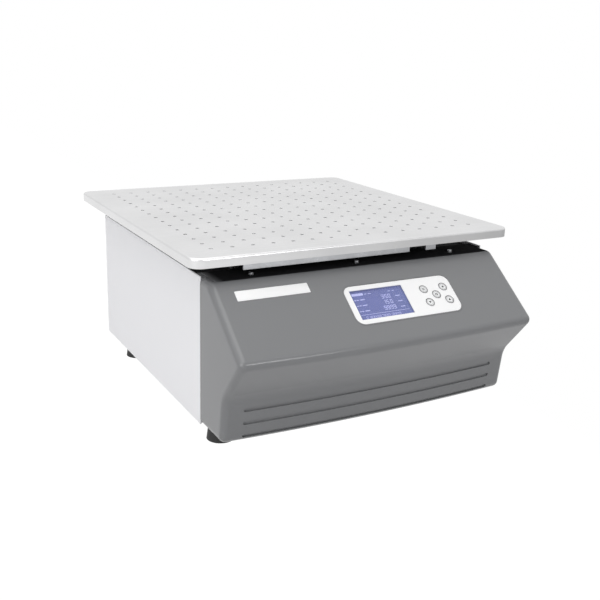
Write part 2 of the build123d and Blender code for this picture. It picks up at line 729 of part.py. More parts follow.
def bearing_pedestal():
    """Flanged housing for the crank shaft's two bearings, with four ribs."""
    seat = MAIN_BEARING_DIAMETER / 2 + SEAT_GAP
    relief = MAIN_BEARING_DIAMETER / 2 - PEDESTAL_RELIEF
    outer = PEDESTAL_DIAMETER / 2
    flange = PEDESTAL_FLANGE_DIAMETER / 2
    flange_top = BASE_TOP + PEDESTAL_FLANGE
    lower_top = BASE_TOP + LOWER_BEARING_RISE + MAIN_BEARING_WIDTH
    upper_bottom = PEDESTAL_TOP - MAIN_BEARING_WIDTH
    outline = [(seat, BASE_TOP), (flange, BASE_TOP), (flange, flange_top), (outer, flange_top)]
    outline += [(outer, PEDESTAL_TOP), (seat, PEDESTAL_TOP), (seat, upper_bottom), (relief, upper_bottom)]
    outline += [(relief, lower_top), (seat, lower_top)]
    housing = turned(outline)
    rib_top = PEDESTAL_TOP - 2 * MAIN_BEARING_WIDTH
    inset = PEDESTAL_RIB_INSET
    rib = [(outer - inset, flange_top), (flange - inset, flange_top), (outer - inset, rib_top)]
    face = Plane.XZ * make_face(Polyline(*rib, close=True))
    for turn in range(4):
        housing += Rot(0, 0, 90 * turn) * extrude(face, PEDESTAL_RIB / 2, both=True)
    return housing - [Pos(x, y, flange_top) * screw_hole(BASE_SCREW, PEDESTAL_FLANGE + OVERRUN)
                      for x, y in pedestal_screw_places()]


def pedestal_screw_places():
    reach = PEDESTAL_SCREW_CIRCLE / 2 / math.sqrt(2)
    return square_places(reach, reach)


def pillar_screw_places():
    reach = PILLAR_SCREW_SPACING / 2
    return [(x + step, y) for x, y in IDLER_PLACES.values() for step in (-reach, reach)]


def deck_screw_places():
    offset = DECK_SCREW_OFFSET
    return [(x + step, y + step) for x, y in IDLER_PLACES.values() for step in (-offset, offset)]


def base_screw_places():
    """Where the pedestal and the pillars are screwed down, with the height of each flange."""
    places = [(x, y, BASE_TOP + PEDESTAL_FLANGE) for x, y in pedestal_screw_places()]
    return places + [(x, y, BASE_TOP + PILLAR_FLANGE) for x, y in pillar_screw_places()]


def base_screws():
    return [Pos(*at) * screw(BASE_SCREW) for at in base_screw_places()]


def pillar_top():
    return DECK_TOP + PILLAR_NECK_RISE


def idler_pillar(x, y):
    """Pillar with a foot flange, a square head for the deck and a bored neck."""
    flange_top = BASE_TOP + PILLAR_FLANGE
    neck_top = pillar_top()
    half = PILLAR_HEAD_SIDE / 2
    pillar = disc(PILLAR_FLANGE_DIAMETER / 2, BASE_TOP, flange_top, x, y)
    pillar += disc(PILLAR_DIAMETER / 2, flange_top, DECK_BOTTOM - PILLAR_HEAD_HEIGHT, x, y)
    pillar += block(x - half, x + half, y - half, y + half, DECK_BOTTOM - PILLAR_HEAD_HEIGHT, DECK_BOTTOM)
    pillar += disc(PILLAR_NECK_DIAMETER / 2, DECK_BOTTOM, neck_top, x, y)
    seat = IDLER_BEARING_DIAMETER / 2 + SEAT_GAP
    pillar -= disc(seat, neck_top - IDLER_BEARING_WIDTH, neck_top + OVERRUN, x, y)
    pillar -= disc(seat - BEARING_SHOULDER, neck_top - 2 * IDLER_BEARING_WIDTH, neck_top, x, y)
    offset = DECK_SCREW_OFFSET
    reach = PILLAR_SCREW_SPACING / 2
    cuts = [Pos(x + step, y + step, DECK_TOP) * blind_hole(M3_SCREW) for step in (-offset, offset)]
    for step in (-reach, reach):
        cuts.append(Pos(x + step, y, flange_top) * screw_hole(BASE_SCREW, PILLAR_FLANGE + OVERRUN))
    return pillar - cuts


def idler_crank(x, y):
    """Short crank: a lower pin in the pillar, an arm, and an upper pin in the carrier."""
    neck_top = pillar_top()
    pin = IDLER_PIN_DIAMETER / 2
    shoulder = pin + PIN_SHOULDER
    arm = Pos(x, y + ORBIT_RADIUS / 2, IDLER_ARM_BOTTOM) * extrude(
        SlotCenterToCenter(ORBIT_RADIUS, 2 * IDLER_ARM_RADIUS, rotation=90), IDLER_ARM_THICKNESS)
    crank = arm + disc(pin, neck_top - IDLER_BEARING_WIDTH - PIN_END, IDLER_ARM_BOTTOM, x, y)
    crank += disc(shoulder, neck_top + STACK_GAP, IDLER_ARM_BOTTOM, x, y)
    upper = carrier_bearing_bottom()
    crank += disc(shoulder, IDLER_ARM_TOP, upper - STACK_GAP, x, y + ORBIT_RADIUS)
    crank += disc(pin, IDLER_ARM_TOP, upper + IDLER_BEARING_WIDTH + PIN_END, x, y + ORBIT_RADIUS)
    return crank


# Base, deck and panels


def toe_at_middle():
    """How far forward of the shaft the moulding's lower face reaches, in the middle."""
    return TOE_REACH + TOE_CROWN


def base_outline(gap):
    """The base plate seen from above: square at the rear, curved inside the moulding."""
    front_half = HALF_WIDTH - MOULDING_WALL - gap
    inset = MOULDING_WALL + TOE_RADIUS + gap
    ends = TOE_REACH - inset
    middle = toe_at_middle() - inset
    rear_half = INNER_WIDTH
    corner = front_half - END_RADIUS
    curve = ThreePointArc((-corner, -ends), (0, -middle), (corner, -ends))
    sides = Polyline(
        (corner, -ends), (front_half, -ends + END_RADIUS), (front_half, -CABINET_FRONT),
        (rear_half, -CABINET_FRONT), (rear_half, REAR_INNER), (-rear_half, REAR_INNER),
        (-rear_half, -CABINET_FRONT), (-front_half, -CABINET_FRONT),
        (-front_half, -ends + END_RADIUS), (-corner, -ends))
    return make_face(Wire([curve, *sides.edges()]))


def base_plate():
    plate = Pos(0, 0, BASE_BOTTOM) * extrude(base_outline(SEAM), BASE_THICKNESS)
    cuts = [Pos(x, y, z) * blind_hole(BASE_SCREW) for x, y, z in base_screw_places()]
    cuts += [upward(x, y, FOOT_CLEARANCE) * blind_hole(CABINET_SCREW) for x, y in cabinet_screw_places()]
    cuts += [upward(x, y, FOOT_POCKET_DEPTH) * blind_hole(FOOT_SCREW) for x, y in FOOT_PLACES.values()]
    board_top = board_level() + BOARD_THICKNESS
    cuts += [Pos(x, y, board_top) * blind_hole(BOARD_SCREW) for x, y in spacer_places()]
    return plate - cuts


def upward(x, y, z):
    """A place for a screw that is driven up from below."""
    return Pos(x, y, z) * Rot(180, 0, 0)


def cabinet_screw_places():
    side = INNER_WIDTH - PANEL_FLANGE / 2
    rear = REAR_INNER - PANEL_FLANGE / 2
    front = TOE_REACH - MOULDING_WALL - TOE_RADIUS - RETURN_FLANGE / 2
    places = [(x, y) for x in (-side, side) for y in SIDE_SCREW_STEPS]
    return places + [(x, y) for x in (-END_SCREW_X, END_SCREW_X) for y in (rear, -front)]


def cabinet_screws():
    return [upward(x, y, FOOT_CLEARANCE) * screw(CABINET_SCREW) for x, y in cabinet_screw_places()]


def cabinet_screw_holes():
    return [upward(x, y, FOOT_CLEARANCE) * screw_hole(CABINET_SCREW, 2 * PANEL_SHEET)
            for x, y in cabinet_screw_places()]


def foot_reliefs():
    """Clearance round the feet in the flanges that turn in under the base plate."""
    radius = FOOT_DIAMETER / 2 + FOOT_GAP
    low = FOOT_CLEARANCE - OVERRUN
    return [disc(radius, low, BASE_BOTTOM + OVERRUN, x, y) for x, y in FOOT_PLACES.values()]


def side_panel(side):
    """Flat white side with a flange turned in under the base plate."""
    outer = side * HALF_WIDTH
    inner = side * (HALF_WIDTH - PANEL_SHEET)
    tip = side * (INNER_WIDTH - PANEL_FLANGE)
    low, high = sorted((outer, inner))
    panel = block(low, high, -CABINET_FRONT + SEAM, CABINET_REAR, FOOT_CLEARANCE, CABINET_TOP)
    low, high = sorted((outer, tip))
    flange_end = REAR_INNER - PANEL_FLANGE - FLANGE_SPACING
    panel += block(low, high, -CABINET_FRONT + FLANGE_RELIEF, flange_end, FOOT_CLEARANCE, BASE_BOTTOM)
    return panel - foot_reliefs() - cabinet_screw_holes()


def rear_panel():
    """Flat rear with vents, cut-outs for the inlet and the switch, and a bottom flange."""
    width = HALF_WIDTH - PANEL_SHEET - SEAM
    face = CABINET_REAR - PANEL_SHEET
    panel = block(-width, width, face, CABINET_REAR, FOOT_CLEARANCE, CABINET_TOP)
    panel += block(-width, width, REAR_INNER - PANEL_FLANGE, CABINET_REAR, FOOT_CLEARANCE, BASE_BOTTOM)
    through = (face - OVERRUN, CABINET_REAR + OVERRUN)
    half = INLET_BODY_LENGTH / 2 + HOLE_CLEARANCE
    tall = INLET_BODY_HEIGHT / 2 + HOLE_CLEARANCE
    cuts = [block(INLET_X - half, INLET_X + half, *through, INLET_HEIGHT - tall, INLET_HEIGHT + tall)]
    half = SWITCH_BODY_WIDTH / 2 + HOLE_CLEARANCE
    tall = SWITCH_BODY_HEIGHT / 2 + HOLE_CLEARANCE
    level = SWITCH_HEIGHT_ON_PANEL
    cuts.append(block(INLET_X - half, INLET_X + half, *through, level - tall, level + tall))
    half = VENT_LENGTH / 2
    for index in range(VENT_COUNT):
        low = CABINET_TOP - VENT_DROP - VENT_HEIGHT - VENT_PITCH * index
        cuts.append(block(VENT_X - half, VENT_X + half, *through, low, low + VENT_HEIGHT))
    cuts += [at * screw_hole(M3_SCREW, 2 * INLET_FLANGE_THICKNESS) for at in inlet_screw_places()]
    return panel - cuts - cabinet_screw_holes()


def top_deck():
    """Deck plate with the crank's hole and the four pillar holes."""
    deck = block(-INNER_WIDTH, INNER_WIDTH, -CABINET_FRONT, REAR_INNER, DECK_BOTTOM, DECK_TOP)
    front_half = HALF_WIDTH - MOULDING_WALL - SEAM
    deck += block(-front_half, front_half, -DECK_FRONT, -CABINET_FRONT, DECK_BOTTOM, DECK_TOP)
    cuts = [disc(DECK_HOLE_DIAMETER / 2, DECK_BOTTOM - OVERRUN, DECK_TOP + OVERRUN)]
    neck = PILLAR_NECK_DIAMETER / 2 + HOLE_CLEARANCE
    cuts += [disc(neck, DECK_BOTTOM - OVERRUN, DECK_TOP + OVERRUN, x, y) for x, y in IDLER_PLACES.values()]
    depth = DECK_THICKNESS + OVERRUN
    cuts += [Pos(x, y, DECK_TOP) * screw_hole(M3_SCREW, depth) for x, y in deck_screw_places()]
    cuts += [Pos(x, LIP_SCREW_Y, MOULDING_TOP) * blind_hole(M3_SCREW) for x in lip_screw_steps()]
    return deck - cuts


def lip_screw_steps():
    return (-LIP_SCREW_X, 0.0, LIP_SCREW_X)


def small_screws():
    """The equal pan-head screws of the moulding's lip, the deck and the mains inlet."""
    places = [Pos(x, LIP_SCREW_Y, MOULDING_TOP) for x in lip_screw_steps()]
    places += [Pos(x, y, DECK_TOP) for x, y in deck_screw_places()]
    places += inlet_screw_places()
    return [at * screw(M3_SCREW) for at in places]


def foot(x, y):
    """Tapered rubber foot with a pocket for its screw."""
    body = loft([
        Pos(x, y, 0) * Circle(FOOT_DIAMETER / 2),
        Pos(x, y, BASE_BOTTOM) * Circle(FOOT_TOP_DIAMETER / 2),
    ])
    pocket = disc(FOOT_POCKET_DIAMETER / 2, -OVERRUN, FOOT_POCKET_DEPTH, x, y)
    hole = upward(x, y, FOOT_POCKET_DEPTH) * screw_hole(FOOT_SCREW, BASE_BOTTOM)
    return body - [pocket, hole]


def foot_screws():
    return [upward(x, y, FOOT_POCKET_DEPTH) * screw(FOOT_SCREW) for x, y in FOOT_PLACES.values()]


# Front moulding


def slope_direction():
    """Unit vector down the slope, as (forward, down)."""
    angle = math.radians(SLOPE_ANGLE)
    return math.cos(angle), math.sin(angle)


def moulding_section(crown, rear, inset=0.0):
    """The side outline where the plan curve has its full value at crown 1 and none at 0."""
    elbow = ELBOW_REACH + TOE_CROWN * crown
    toe = TOE_REACH + TOE_CROWN * crown
    chin_y, chin_z = chin_corner(CHIN_REACH - CHIN_CROWN * (1 - crown), elbow)
    points = [
        (-rear, MOULDING_TOP), (-SLOPE_START, MOULDING_TOP), (-chin_y, chin_z),
        (-elbow, ELBOW_HEIGHT), (-toe, FOOT_CLEARANCE), (-rear, FOOT_CLEARANCE),
    ]
    radii = (SLOPE_TOP_RADIUS, CHIN_RADIUS, ELBOW_RADIUS, TOE_RADIUS)
    edge = FilletPolyline(*points, radius=radii)
    back = Line(points[-1], points[0])
    face = make_face(Wire([*edge.edges(), back]))
    if inset:
        face = offset(face, amount=-inset)
    return face


def chin_corner(reach, elbow):
    """The sharp corner that rounds to a chin of the given reach, as (reach, height).

    The chin's arc touches the slope, and the undercut runs from the elbow to touch the arc.
    """
    forward, down = slope_direction()
    slant = down / forward
    centre_y = reach - CHIN_RADIUS
    centre_z = MOULDING_TOP - (centre_y - SLOPE_START) * slant - CHIN_RADIUS / forward
    away = math.hypot(centre_y - elbow, centre_z - ELBOW_HEIGHT)
    rise = math.atan2(centre_z - ELBOW_HEIGHT, centre_y - elbow) - math.asin(CHIN_RADIUS / away)
    climb = math.tan(rise)
    corner_y = (MOULDING_TOP + SLOPE_START * slant - ELBOW_HEIGHT + elbow * climb) / (slant + climb)
    return corner_y, ELBOW_HEIGHT + (corner_y - elbow) * climb


def moulding_form(rear, inset=0.0):
    """The moulding's outer form, or the form a set distance inside it."""
    half = HALF_WIDTH - inset
    sections = []
    for x, crown in ((-half, 0.0), (0.0, 1.0), (half, 0.0)):
        side_plane = Plane(origin=(x, 0, 0), x_dir=(0, 1, 0), z_dir=(1, 0, 0))
        sections.append(side_plane * moulding_section(crown, rear, inset))
    return loft(sections)


def panel_plane(depth=0.0):
    """The slope as a plane: X to the right, Y up the slope, origin at its top edge."""
    forward, down = slope_direction()
    origin = Vector(0, -SLOPE_START, MOULDING_TOP)
    normal = Vector(0, -down, forward)
    return Plane(origin=origin - normal * depth, x_dir=(1, 0, 0), z_dir=normal)


def on_panel(outline, depth_low, depth_high):
    """An outline drawn on the slope, filled between two depths below its surface."""
    return extrude(panel_plane(depth_high) * outline, depth_high - depth_low)


def key_places():
    for name, (across, up) in KEY_PLACES.items():
        yield name, KEY_X + KEY_STEP_X * across, -OVERLAY_DOWN + KEY_STEP_DOWN * up


def overlay_outline(gap=0.0):
    shape = RectangleRounded(OVERLAY_LENGTH + 2 * gap, OVERLAY_WIDTH + 2 * gap, OVERLAY_CORNER + gap)
    return Pos(OVERLAY_X, -OVERLAY_DOWN) * shape


def lens_outline(gap=0.0):
    length = SCREEN_LENGTH + 2 * LENS_MARGIN + 2 * gap
    width = SCREEN_WIDTH + 2 * LENS_MARGIN + 2 * gap
    return Pos(SCREEN_X, -OVERLAY_DOWN) * Rectangle(length, width)


def key_holes(depth_low, depth_high):
    radius = KEY_DIAMETER / 2 + KEY_CLEARANCE
    return [on_panel(Pos(x, y) * Circle(radius), depth_low, depth_high) for _name, x, y in key_places()]


def module_post_places():
    across = MODULE_LENGTH / 2 - BOARD_POST_INSET
    up = MODULE_WIDTH / 2 - BOARD_POST_INSET
    return [(SCREEN_X + x, y - OVERLAY_DOWN) for x, y in square_places(across, up)]


def control_post_places():
    across = CONTROL_BOARD_LENGTH / 2 - BOARD_POST_INSET
    up = CONTROL_BOARD_WIDTH / 2 - BOARD_POST_INSET
    left_edge = SCREEN_X + MODULE_LENGTH / 2 + BOARD_SPACING
    middle = left_edge + CONTROL_BOARD_LENGTH / 2
    return [(middle + x, y - OVERLAY_DOWN) for x, y in square_places(across, up)], middle


def module_board_depth():
    return MOULDING_WALL + SEAM + BEZEL_DEPTH


def control_board_depth():
    return key_stem_depth() + KEY_TRAVEL + STACK_GAP + SWITCH_HEIGHT


def key_stem_depth():
    return MOULDING_WALL + KEY_COLLAR_GAP + KEY_COLLAR_THICKNESS + KEY_STEM_LENGTH


def post_places():
    """Every moulded post behind the panel, with the depth of the board it carries."""
    control, _middle = control_post_places()
    posts = [(x, y, module_board_depth()) for x, y in module_post_places()]
    return posts + [(x, y, control_board_depth()) for x, y in control]


def front_moulding():
    """Crowned one-piece front with its lip, return flange, grooves and panel recess."""
    outer = moulding_form(CABINET_FRONT)
    ends = outer.faces().sort_by(Axis.X)
    edges = []
    for end in (ends[0], ends[-1]):
        for edge in end.edges():
            middle = edge @ 0.5
            if middle.Y < -CABINET_FRONT - SEAM and middle.Z > FOOT_CLEARANCE + SEAM:
                edges.append(edge)
    outer = fillet(edges, END_RADIUS)
    shell = outer - moulding_form(CABINET_FRONT - OPEN_BACK, MOULDING_WALL)
    lip_half = INNER_WIDTH - SEAM
    shell += block(-lip_half, lip_half, -CABINET_FRONT - OVERRUN, -LIP_REAR, DECK_TOP, MOULDING_TOP)
    cuts = [Pos(0, 0, BASE_BOTTOM) * extrude(base_outline(0.0), BASE_THICKNESS + OVERRUN)]
    inner = HALF_WIDTH - MOULDING_WALL - RETURN_FLANGE
    front = TOE_REACH - MOULDING_WALL - TOE_RADIUS - RETURN_FLANGE
    cuts.append(block(-inner, inner, -front, 0, FOOT_CLEARANCE - OVERRUN, BASE_BOTTOM + OVERRUN))
    cuts.append(block(-lip_half, lip_half, -FOOT_FRONT, 0, FOOT_CLEARANCE - OVERRUN, BASE_BOTTOM + OVERRUN))
    cuts += foot_reliefs() + cabinet_screw_holes()
    for x in lip_screw_steps():
        cuts.append(Pos(x, LIP_SCREW_Y, MOULDING_TOP) * screw_hole(M3_SCREW, 2 * MOULDING_WALL))
    cuts += grooves()
    cuts.append(on_panel(overlay_outline(SEAM), -OVERRUN, RECESS_DEPTH))
    cuts.append(on_panel(lens_outline(SEAM), 0, MOULDING_WALL + OVERRUN))
    cuts += key_holes(0, MOULDING_WALL + OVERRUN)
    posts = []
    for x, y, depth in post_places():
        post = Pos(x, y) * RegularPolygon(BOARD_POST_DIAMETER / 2, SHANK_SIDES)
        posts.append(on_panel(post, MOULDING_WALL - OVERRUN, depth))
        cuts.append(on_panel(board_hole(x, y), depth - BOARD_SCREW[3], depth + OVERRUN))
    return shell + posts - cuts


def board_hole(x, y):
    return Pos(x, y) * RegularPolygon(BOARD_SCREW[0] / 2 + HOLE_CLEARANCE, SHANK_SIDES)


def grooves():
    """The cutters of the three grooves, whose floor follows the face."""
    core = moulding_form(CABINET_FRONT, GROOVE_DEPTH)
    reach = CHIN_REACH
    core += block(-reach, reach, -CABINET_FRONT, OVERRUN, 0, reach)
    cutters = []
    for index in range(GROOVE_COUNT):
        height = LOWEST_GROOVE + GROOVE_PITCH * index
        outline = Plane.XZ * Pos(0, height) * SlotOverall(GROOVE_LENGTH, GROOVE_HEIGHT)
        cutters.append(extrude(outline, reach) - core)
    return cutters


# Control panel pieces


def keypad_overlay():
    """White front plate with the screen's window and the key holes."""
    low = RECESS_DEPTH - OVERLAY_THICKNESS
    plate = on_panel(overlay_outline(), low, RECESS_DEPTH)
    window = Pos(SCREEN_X, -OVERLAY_DOWN) * Rectangle(SCREEN_LENGTH, SCREEN_WIDTH)
    through = (low - OVERRUN, RECESS_DEPTH + OVERRUN)
    return plate - on_panel(window, *through) - key_holes(*through)


def display_window():
    return on_panel(lens_outline(), RECESS_DEPTH, MOULDING_WALL)


def display_module():
    """Screen in its bezel on a circuit board."""
    front = MOULDING_WALL + SEAM
    bezel = Pos(SCREEN_X, -OVERLAY_DOWN) * Rectangle(BEZEL_LENGTH, BEZEL_WIDTH)
    glass = Pos(SCREEN_X, -OVERLAY_DOWN) * Rectangle(SCREEN_LENGTH, SCREEN_WIDTH)
    board = Pos(SCREEN_X, -OVERLAY_DOWN) * Rectangle(MODULE_LENGTH, MODULE_WIDTH)
    board_front = module_board_depth()
    board_back = board_front + BOARD_THICKNESS
    module = on_panel(bezel, front, front + BEZEL_DEPTH)
    module -= on_panel(glass, front - OVERRUN, front + SCREEN_RECESS)
    module += on_panel(board, board_front, board_back)
    for x, y in module_post_places():
        module -= on_panel(board_hole(x, y), board_front - OVERRUN, board_back + OVERRUN)
    return module


def control_board():
    """Circuit board with a push switch under each key."""
    places, middle = control_post_places()
    depth = control_board_depth()
    outline = Pos(middle, -OVERLAY_DOWN) * Rectangle(CONTROL_BOARD_LENGTH, CONTROL_BOARD_WIDTH)
    board = on_panel(outline, depth, depth + BOARD_THICKNESS)
    for x, y in places:
        board -= on_panel(board_hole(x, y), depth - OVERRUN, depth + BOARD_THICKNESS + OVERRUN)
    for _name, x, y in key_places():
        board += on_panel(Pos(x, y) * Rectangle(SWITCH_SIDE, SWITCH_SIDE), depth - SWITCH_HEIGHT, depth)
    return board


def board_screws():
    """The small screws of the three circuit boards."""
    screws = []
    for x, y, depth in post_places():
        place_there = panel_plane(depth + BOARD_THICKNESS).location * Pos(x, y, 0) * Rot(180, 0, 0)
        screws.append(place_there * screw(BOARD_SCREW))
    for x, y in spacer_places():
        screws.append(Pos(x, y, board_level() + BOARD_THICKNESS) * screw(BOARD_SCREW))
    return screws


def key(x, y):
    """Round key with a retaining collar under the panel and a stem over its switch."""
    collar_top = MOULDING_WALL + KEY_COLLAR_GAP
    collar_bottom = collar_top + KEY_COLLAR_THICKNESS
    radius = KEY_DIAMETER / 2
    cap = on_panel(Pos(x, y) * Circle(radius), 0, collar_bottom)
    cap += on_panel(Pos(x, y) * Circle(radius + KEY_COLLAR), collar_top, collar_bottom)
    cap += on_panel(Pos(x, y) * Circle(KEY_STEM_DIAMETER / 2), collar_bottom, key_stem_depth())
    return cap


# Drive board


def board_level():
    return BASE_TOP + SPACER_HEIGHT


def spacer_places():
    across = DRIVE_BOARD_WIDTH / 2 - SPACER_INSET
    along = DRIVE_BOARD_LENGTH / 2 - SPACER_INSET
    return [(DRIVE_BOARD_X + x, DRIVE_BOARD_Y + y) for x, y in square_places(across, along)]


def board_spacers():
    spacers = []
    for x, y in spacer_places():
        post = prism(SPACER_DIAMETER / 2, 6, BASE_TOP, board_level(), x, y)
        spacers.append(post - Pos(x, y, board_level()) * screw_hole(BOARD_SCREW, SPACER_HEIGHT + OVERRUN))
    return spacers


def drive_board():
    """Power supply and motor drive on one board, with its larger components."""
    top = board_level() + BOARD_THICKNESS
    half_x = DRIVE_BOARD_WIDTH / 2
    half_y = DRIVE_BOARD_LENGTH / 2
    board = block(-half_x, half_x, -half_y, half_y, board_level(), top)
    for x_low, x_high, y_low, y_high, height in (TRANSFORMER, HEAT_SINK, CONNECTOR):
        board += block(x_low, x_high, y_low, y_high, top, top + height)
    for x, y in CAPACITOR_PLACES:
        board += disc(CAPACITOR_DIAMETER / 2, top, top + CAPACITOR_HEIGHT, x, y)
    board = Pos(DRIVE_BOARD_X, DRIVE_BOARD_Y, 0) * board
    depth = BOARD_THICKNESS + OVERRUN
    return board - [Pos(x, y, top) * screw_hole(BOARD_SCREW, depth) for x, y in spacer_places()]


# Mains inlet, fuse and switch


def inlet_frame():
    """The inlet's own place: X to the right, Y out of the rear panel, Z up."""
    return Pos(INLET_X, CABINET_REAR, INLET_HEIGHT)


def inlet_screw_places():
    half = INLET_SCREW_SPACING / 2
    turn = Rot(-90, 0, 0)
    return [inlet_frame() * Pos(x, INLET_FLANGE_THICKNESS, 0) * turn for x in (-half, half)]


def socket_outline():
    half = SOCKET_LENGTH / 2
    tall = SOCKET_HEIGHT / 2
    cut = SOCKET_CHAMFER
    points = [(-half, -tall), (half, -tall), (half, tall - cut), (half - cut, tall)]
    points += [(-half + cut, tall), (-half, tall - cut)]
    return Pos(0, SOCKET_RISE) * make_face(Polyline(*points, close=True))


def mains_inlet():
    """Panel inlet with a recessed socket above a slot for the fuse drawer."""
    half = INLET_BODY_LENGTH / 2
    tall = INLET_BODY_HEIGHT / 2
    wide = INLET_FLANGE_LENGTH / 2
    high = INLET_FLANGE_HEIGHT / 2
    body = block(-half, half, -INLET_BODY_DEPTH, 0, -tall, tall)
    body += block(-wide, wide, 0, INLET_FLANGE_THICKNESS, -high, high)
    mouth = Plane(origin=(0, INLET_FLANGE_THICKNESS + OVERRUN, 0), x_dir=(1, 0, 0), z_dir=(0, -1, 0))
    body -= extrude(mouth * socket_outline(), SOCKET_DEPTH + OVERRUN)
    slot_half = DRAWER_LENGTH / 2 + DRAWER_CLEARANCE
    slot_tall = DRAWER_HEIGHT / 2 + DRAWER_CLEARANCE
    slot_floor = INLET_FLANGE_THICKNESS - DRAWER_DEPTH - DRAWER_CLEARANCE
    body -= block(-slot_half, slot_half, slot_floor, INLET_FLANGE_THICKNESS + OVERRUN,
                  -DRAWER_DROP - slot_tall, -DRAWER_DROP + slot_tall)
    body = inlet_frame() * body
    return body - [at * screw_hole(M3_SCREW, 2 * INLET_FLANGE_THICKNESS) for at in inlet_screw_places()]


def inlet_blades():
    """Three flat contacts that stand in the socket."""
    floor = INLET_FLANGE_THICKNESS - SOCKET_DEPTH
    tip = INLET_FLANGE_THICKNESS - BLADE_SETBACK
    half = BLADE_WIDTH / 2
    blades = []
    for x, rise in ((-BLADE_SPACING, -BLADE_STEP), (0, BLADE_STEP), (BLADE_SPACING, -BLADE_STEP)):
        low = SOCKET_RISE + rise - BLADE_HEIGHT / 2
        blades.append(inlet_frame() * block(x - half, x + half, floor, tip, low, low + BLADE_HEIGHT))
    return blades


def fuse_drawer():
    """Drawer with a finger lip, open on top over the fuse."""
    half = DRAWER_LENGTH / 2
    tall = DRAWER_HEIGHT / 2
    front = INLET_FLANGE_THICKNESS
    lip = DRAWER_LIP
    lip_back = front + DRAWER_LIP_GAP
    lip_face = front + DRAWER_LIP_THICKNESS
    drawer = block(-half, half, front - DRAWER_DEPTH, lip_back, -tall, tall)
    drawer += block(-half - lip, half + lip, lip_back, lip_face, -tall - lip, tall + lip)
    long = FUSE_LENGTH / 2 + FUSE_CLEARANCE
    wide = FUSE_DIAMETER / 2 + FUSE_CLEARANCE
    middle = fuse_setback()
    drawer -= block(-long, long, middle - wide, middle + wide, -tall + DRAWER_WALL, tall + OVERRUN)
    return inlet_frame() * Pos(0, 0, -DRAWER_DROP) * drawer


def fuse_setback():
    return INLET_FLANGE_THICKNESS - DRAWER_DEPTH / 2


def fuse():
    """Glass fuse lying across the drawer."""
    axis_height = -DRAWER_HEIGHT / 2 + DRAWER_WALL + FUSE_DIAMETER / 2 + SEAT_GAP
    tube = Rot(0, 90, 0) * Cylinder(FUSE_DIAMETER / 2, FUSE_LENGTH)
    return inlet_frame() * Pos(0, fuse_setback(), -DRAWER_DROP + axis_height) * tube


def switch_frame():
    return Pos(INLET_X, CABINET_REAR, SWITCH_HEIGHT_ON_PANEL)


def rocker_setback():
    return SWITCH_FLANGE_THICKNESS - ROCKER_MIDDLE - ROCKER_RECESS


def rocker_reach():
    return math.hypot(ROCKER_ENDS, ROCKER_HALF_HEIGHT)


def power_switch():
    """Snap-in switch body with a well for the rocker."""
    half = SWITCH_BODY_WIDTH / 2
    tall = SWITCH_BODY_HEIGHT / 2
    wide = SWITCH_FLANGE_WIDTH / 2
    high = SWITCH_FLANGE_HEIGHT / 2
    body = block(-half, half, -SWITCH_BODY_DEPTH, 0, -tall, tall)
    body += block(-wide, wide, 0, SWITCH_FLANGE_THICKNESS, -high, high)
    well = ROCKER_WIDTH / 2 + ROCKER_CLEARANCE
    well_tall = rocker_reach() + ROCKER_CLEARANCE
    floor = rocker_setback() - ROCKER_HALF_HEIGHT - ROCKER_CLEARANCE
    body -= block(-well, well, floor, SWITCH_FLANGE_THICKNESS + OVERRUN, -well_tall, well_tall)
    return switch_frame() * body


def power_rocker():
    """Rocker with a shallow V face on two pivot stubs, tilted to its on position."""
    ends, middle, tall, back = ROCKER_ENDS, ROCKER_MIDDLE, ROCKER_HALF_HEIGHT, ROCKER_BACK
    points = [(-back, -tall / 2), (-back, tall / 2), (ends, tall), (middle, 0), (ends, -tall)]
    outline = Plane.YZ * make_face(Polyline(*points, close=True))
    rocker = extrude(outline, ROCKER_WIDTH / 2, both=True)
    stub = Rot(0, 90, 0) * Cylinder(ROCKER_STUB_DIAMETER / 2, ROCKER_WIDTH + ROCKER_STUBS)
    return switch_frame() * Pos(0, rocker_setback(), 0) * Rot(ROCKER_TILT, 0, 0) * (rocker + stub)


# Build and write every node


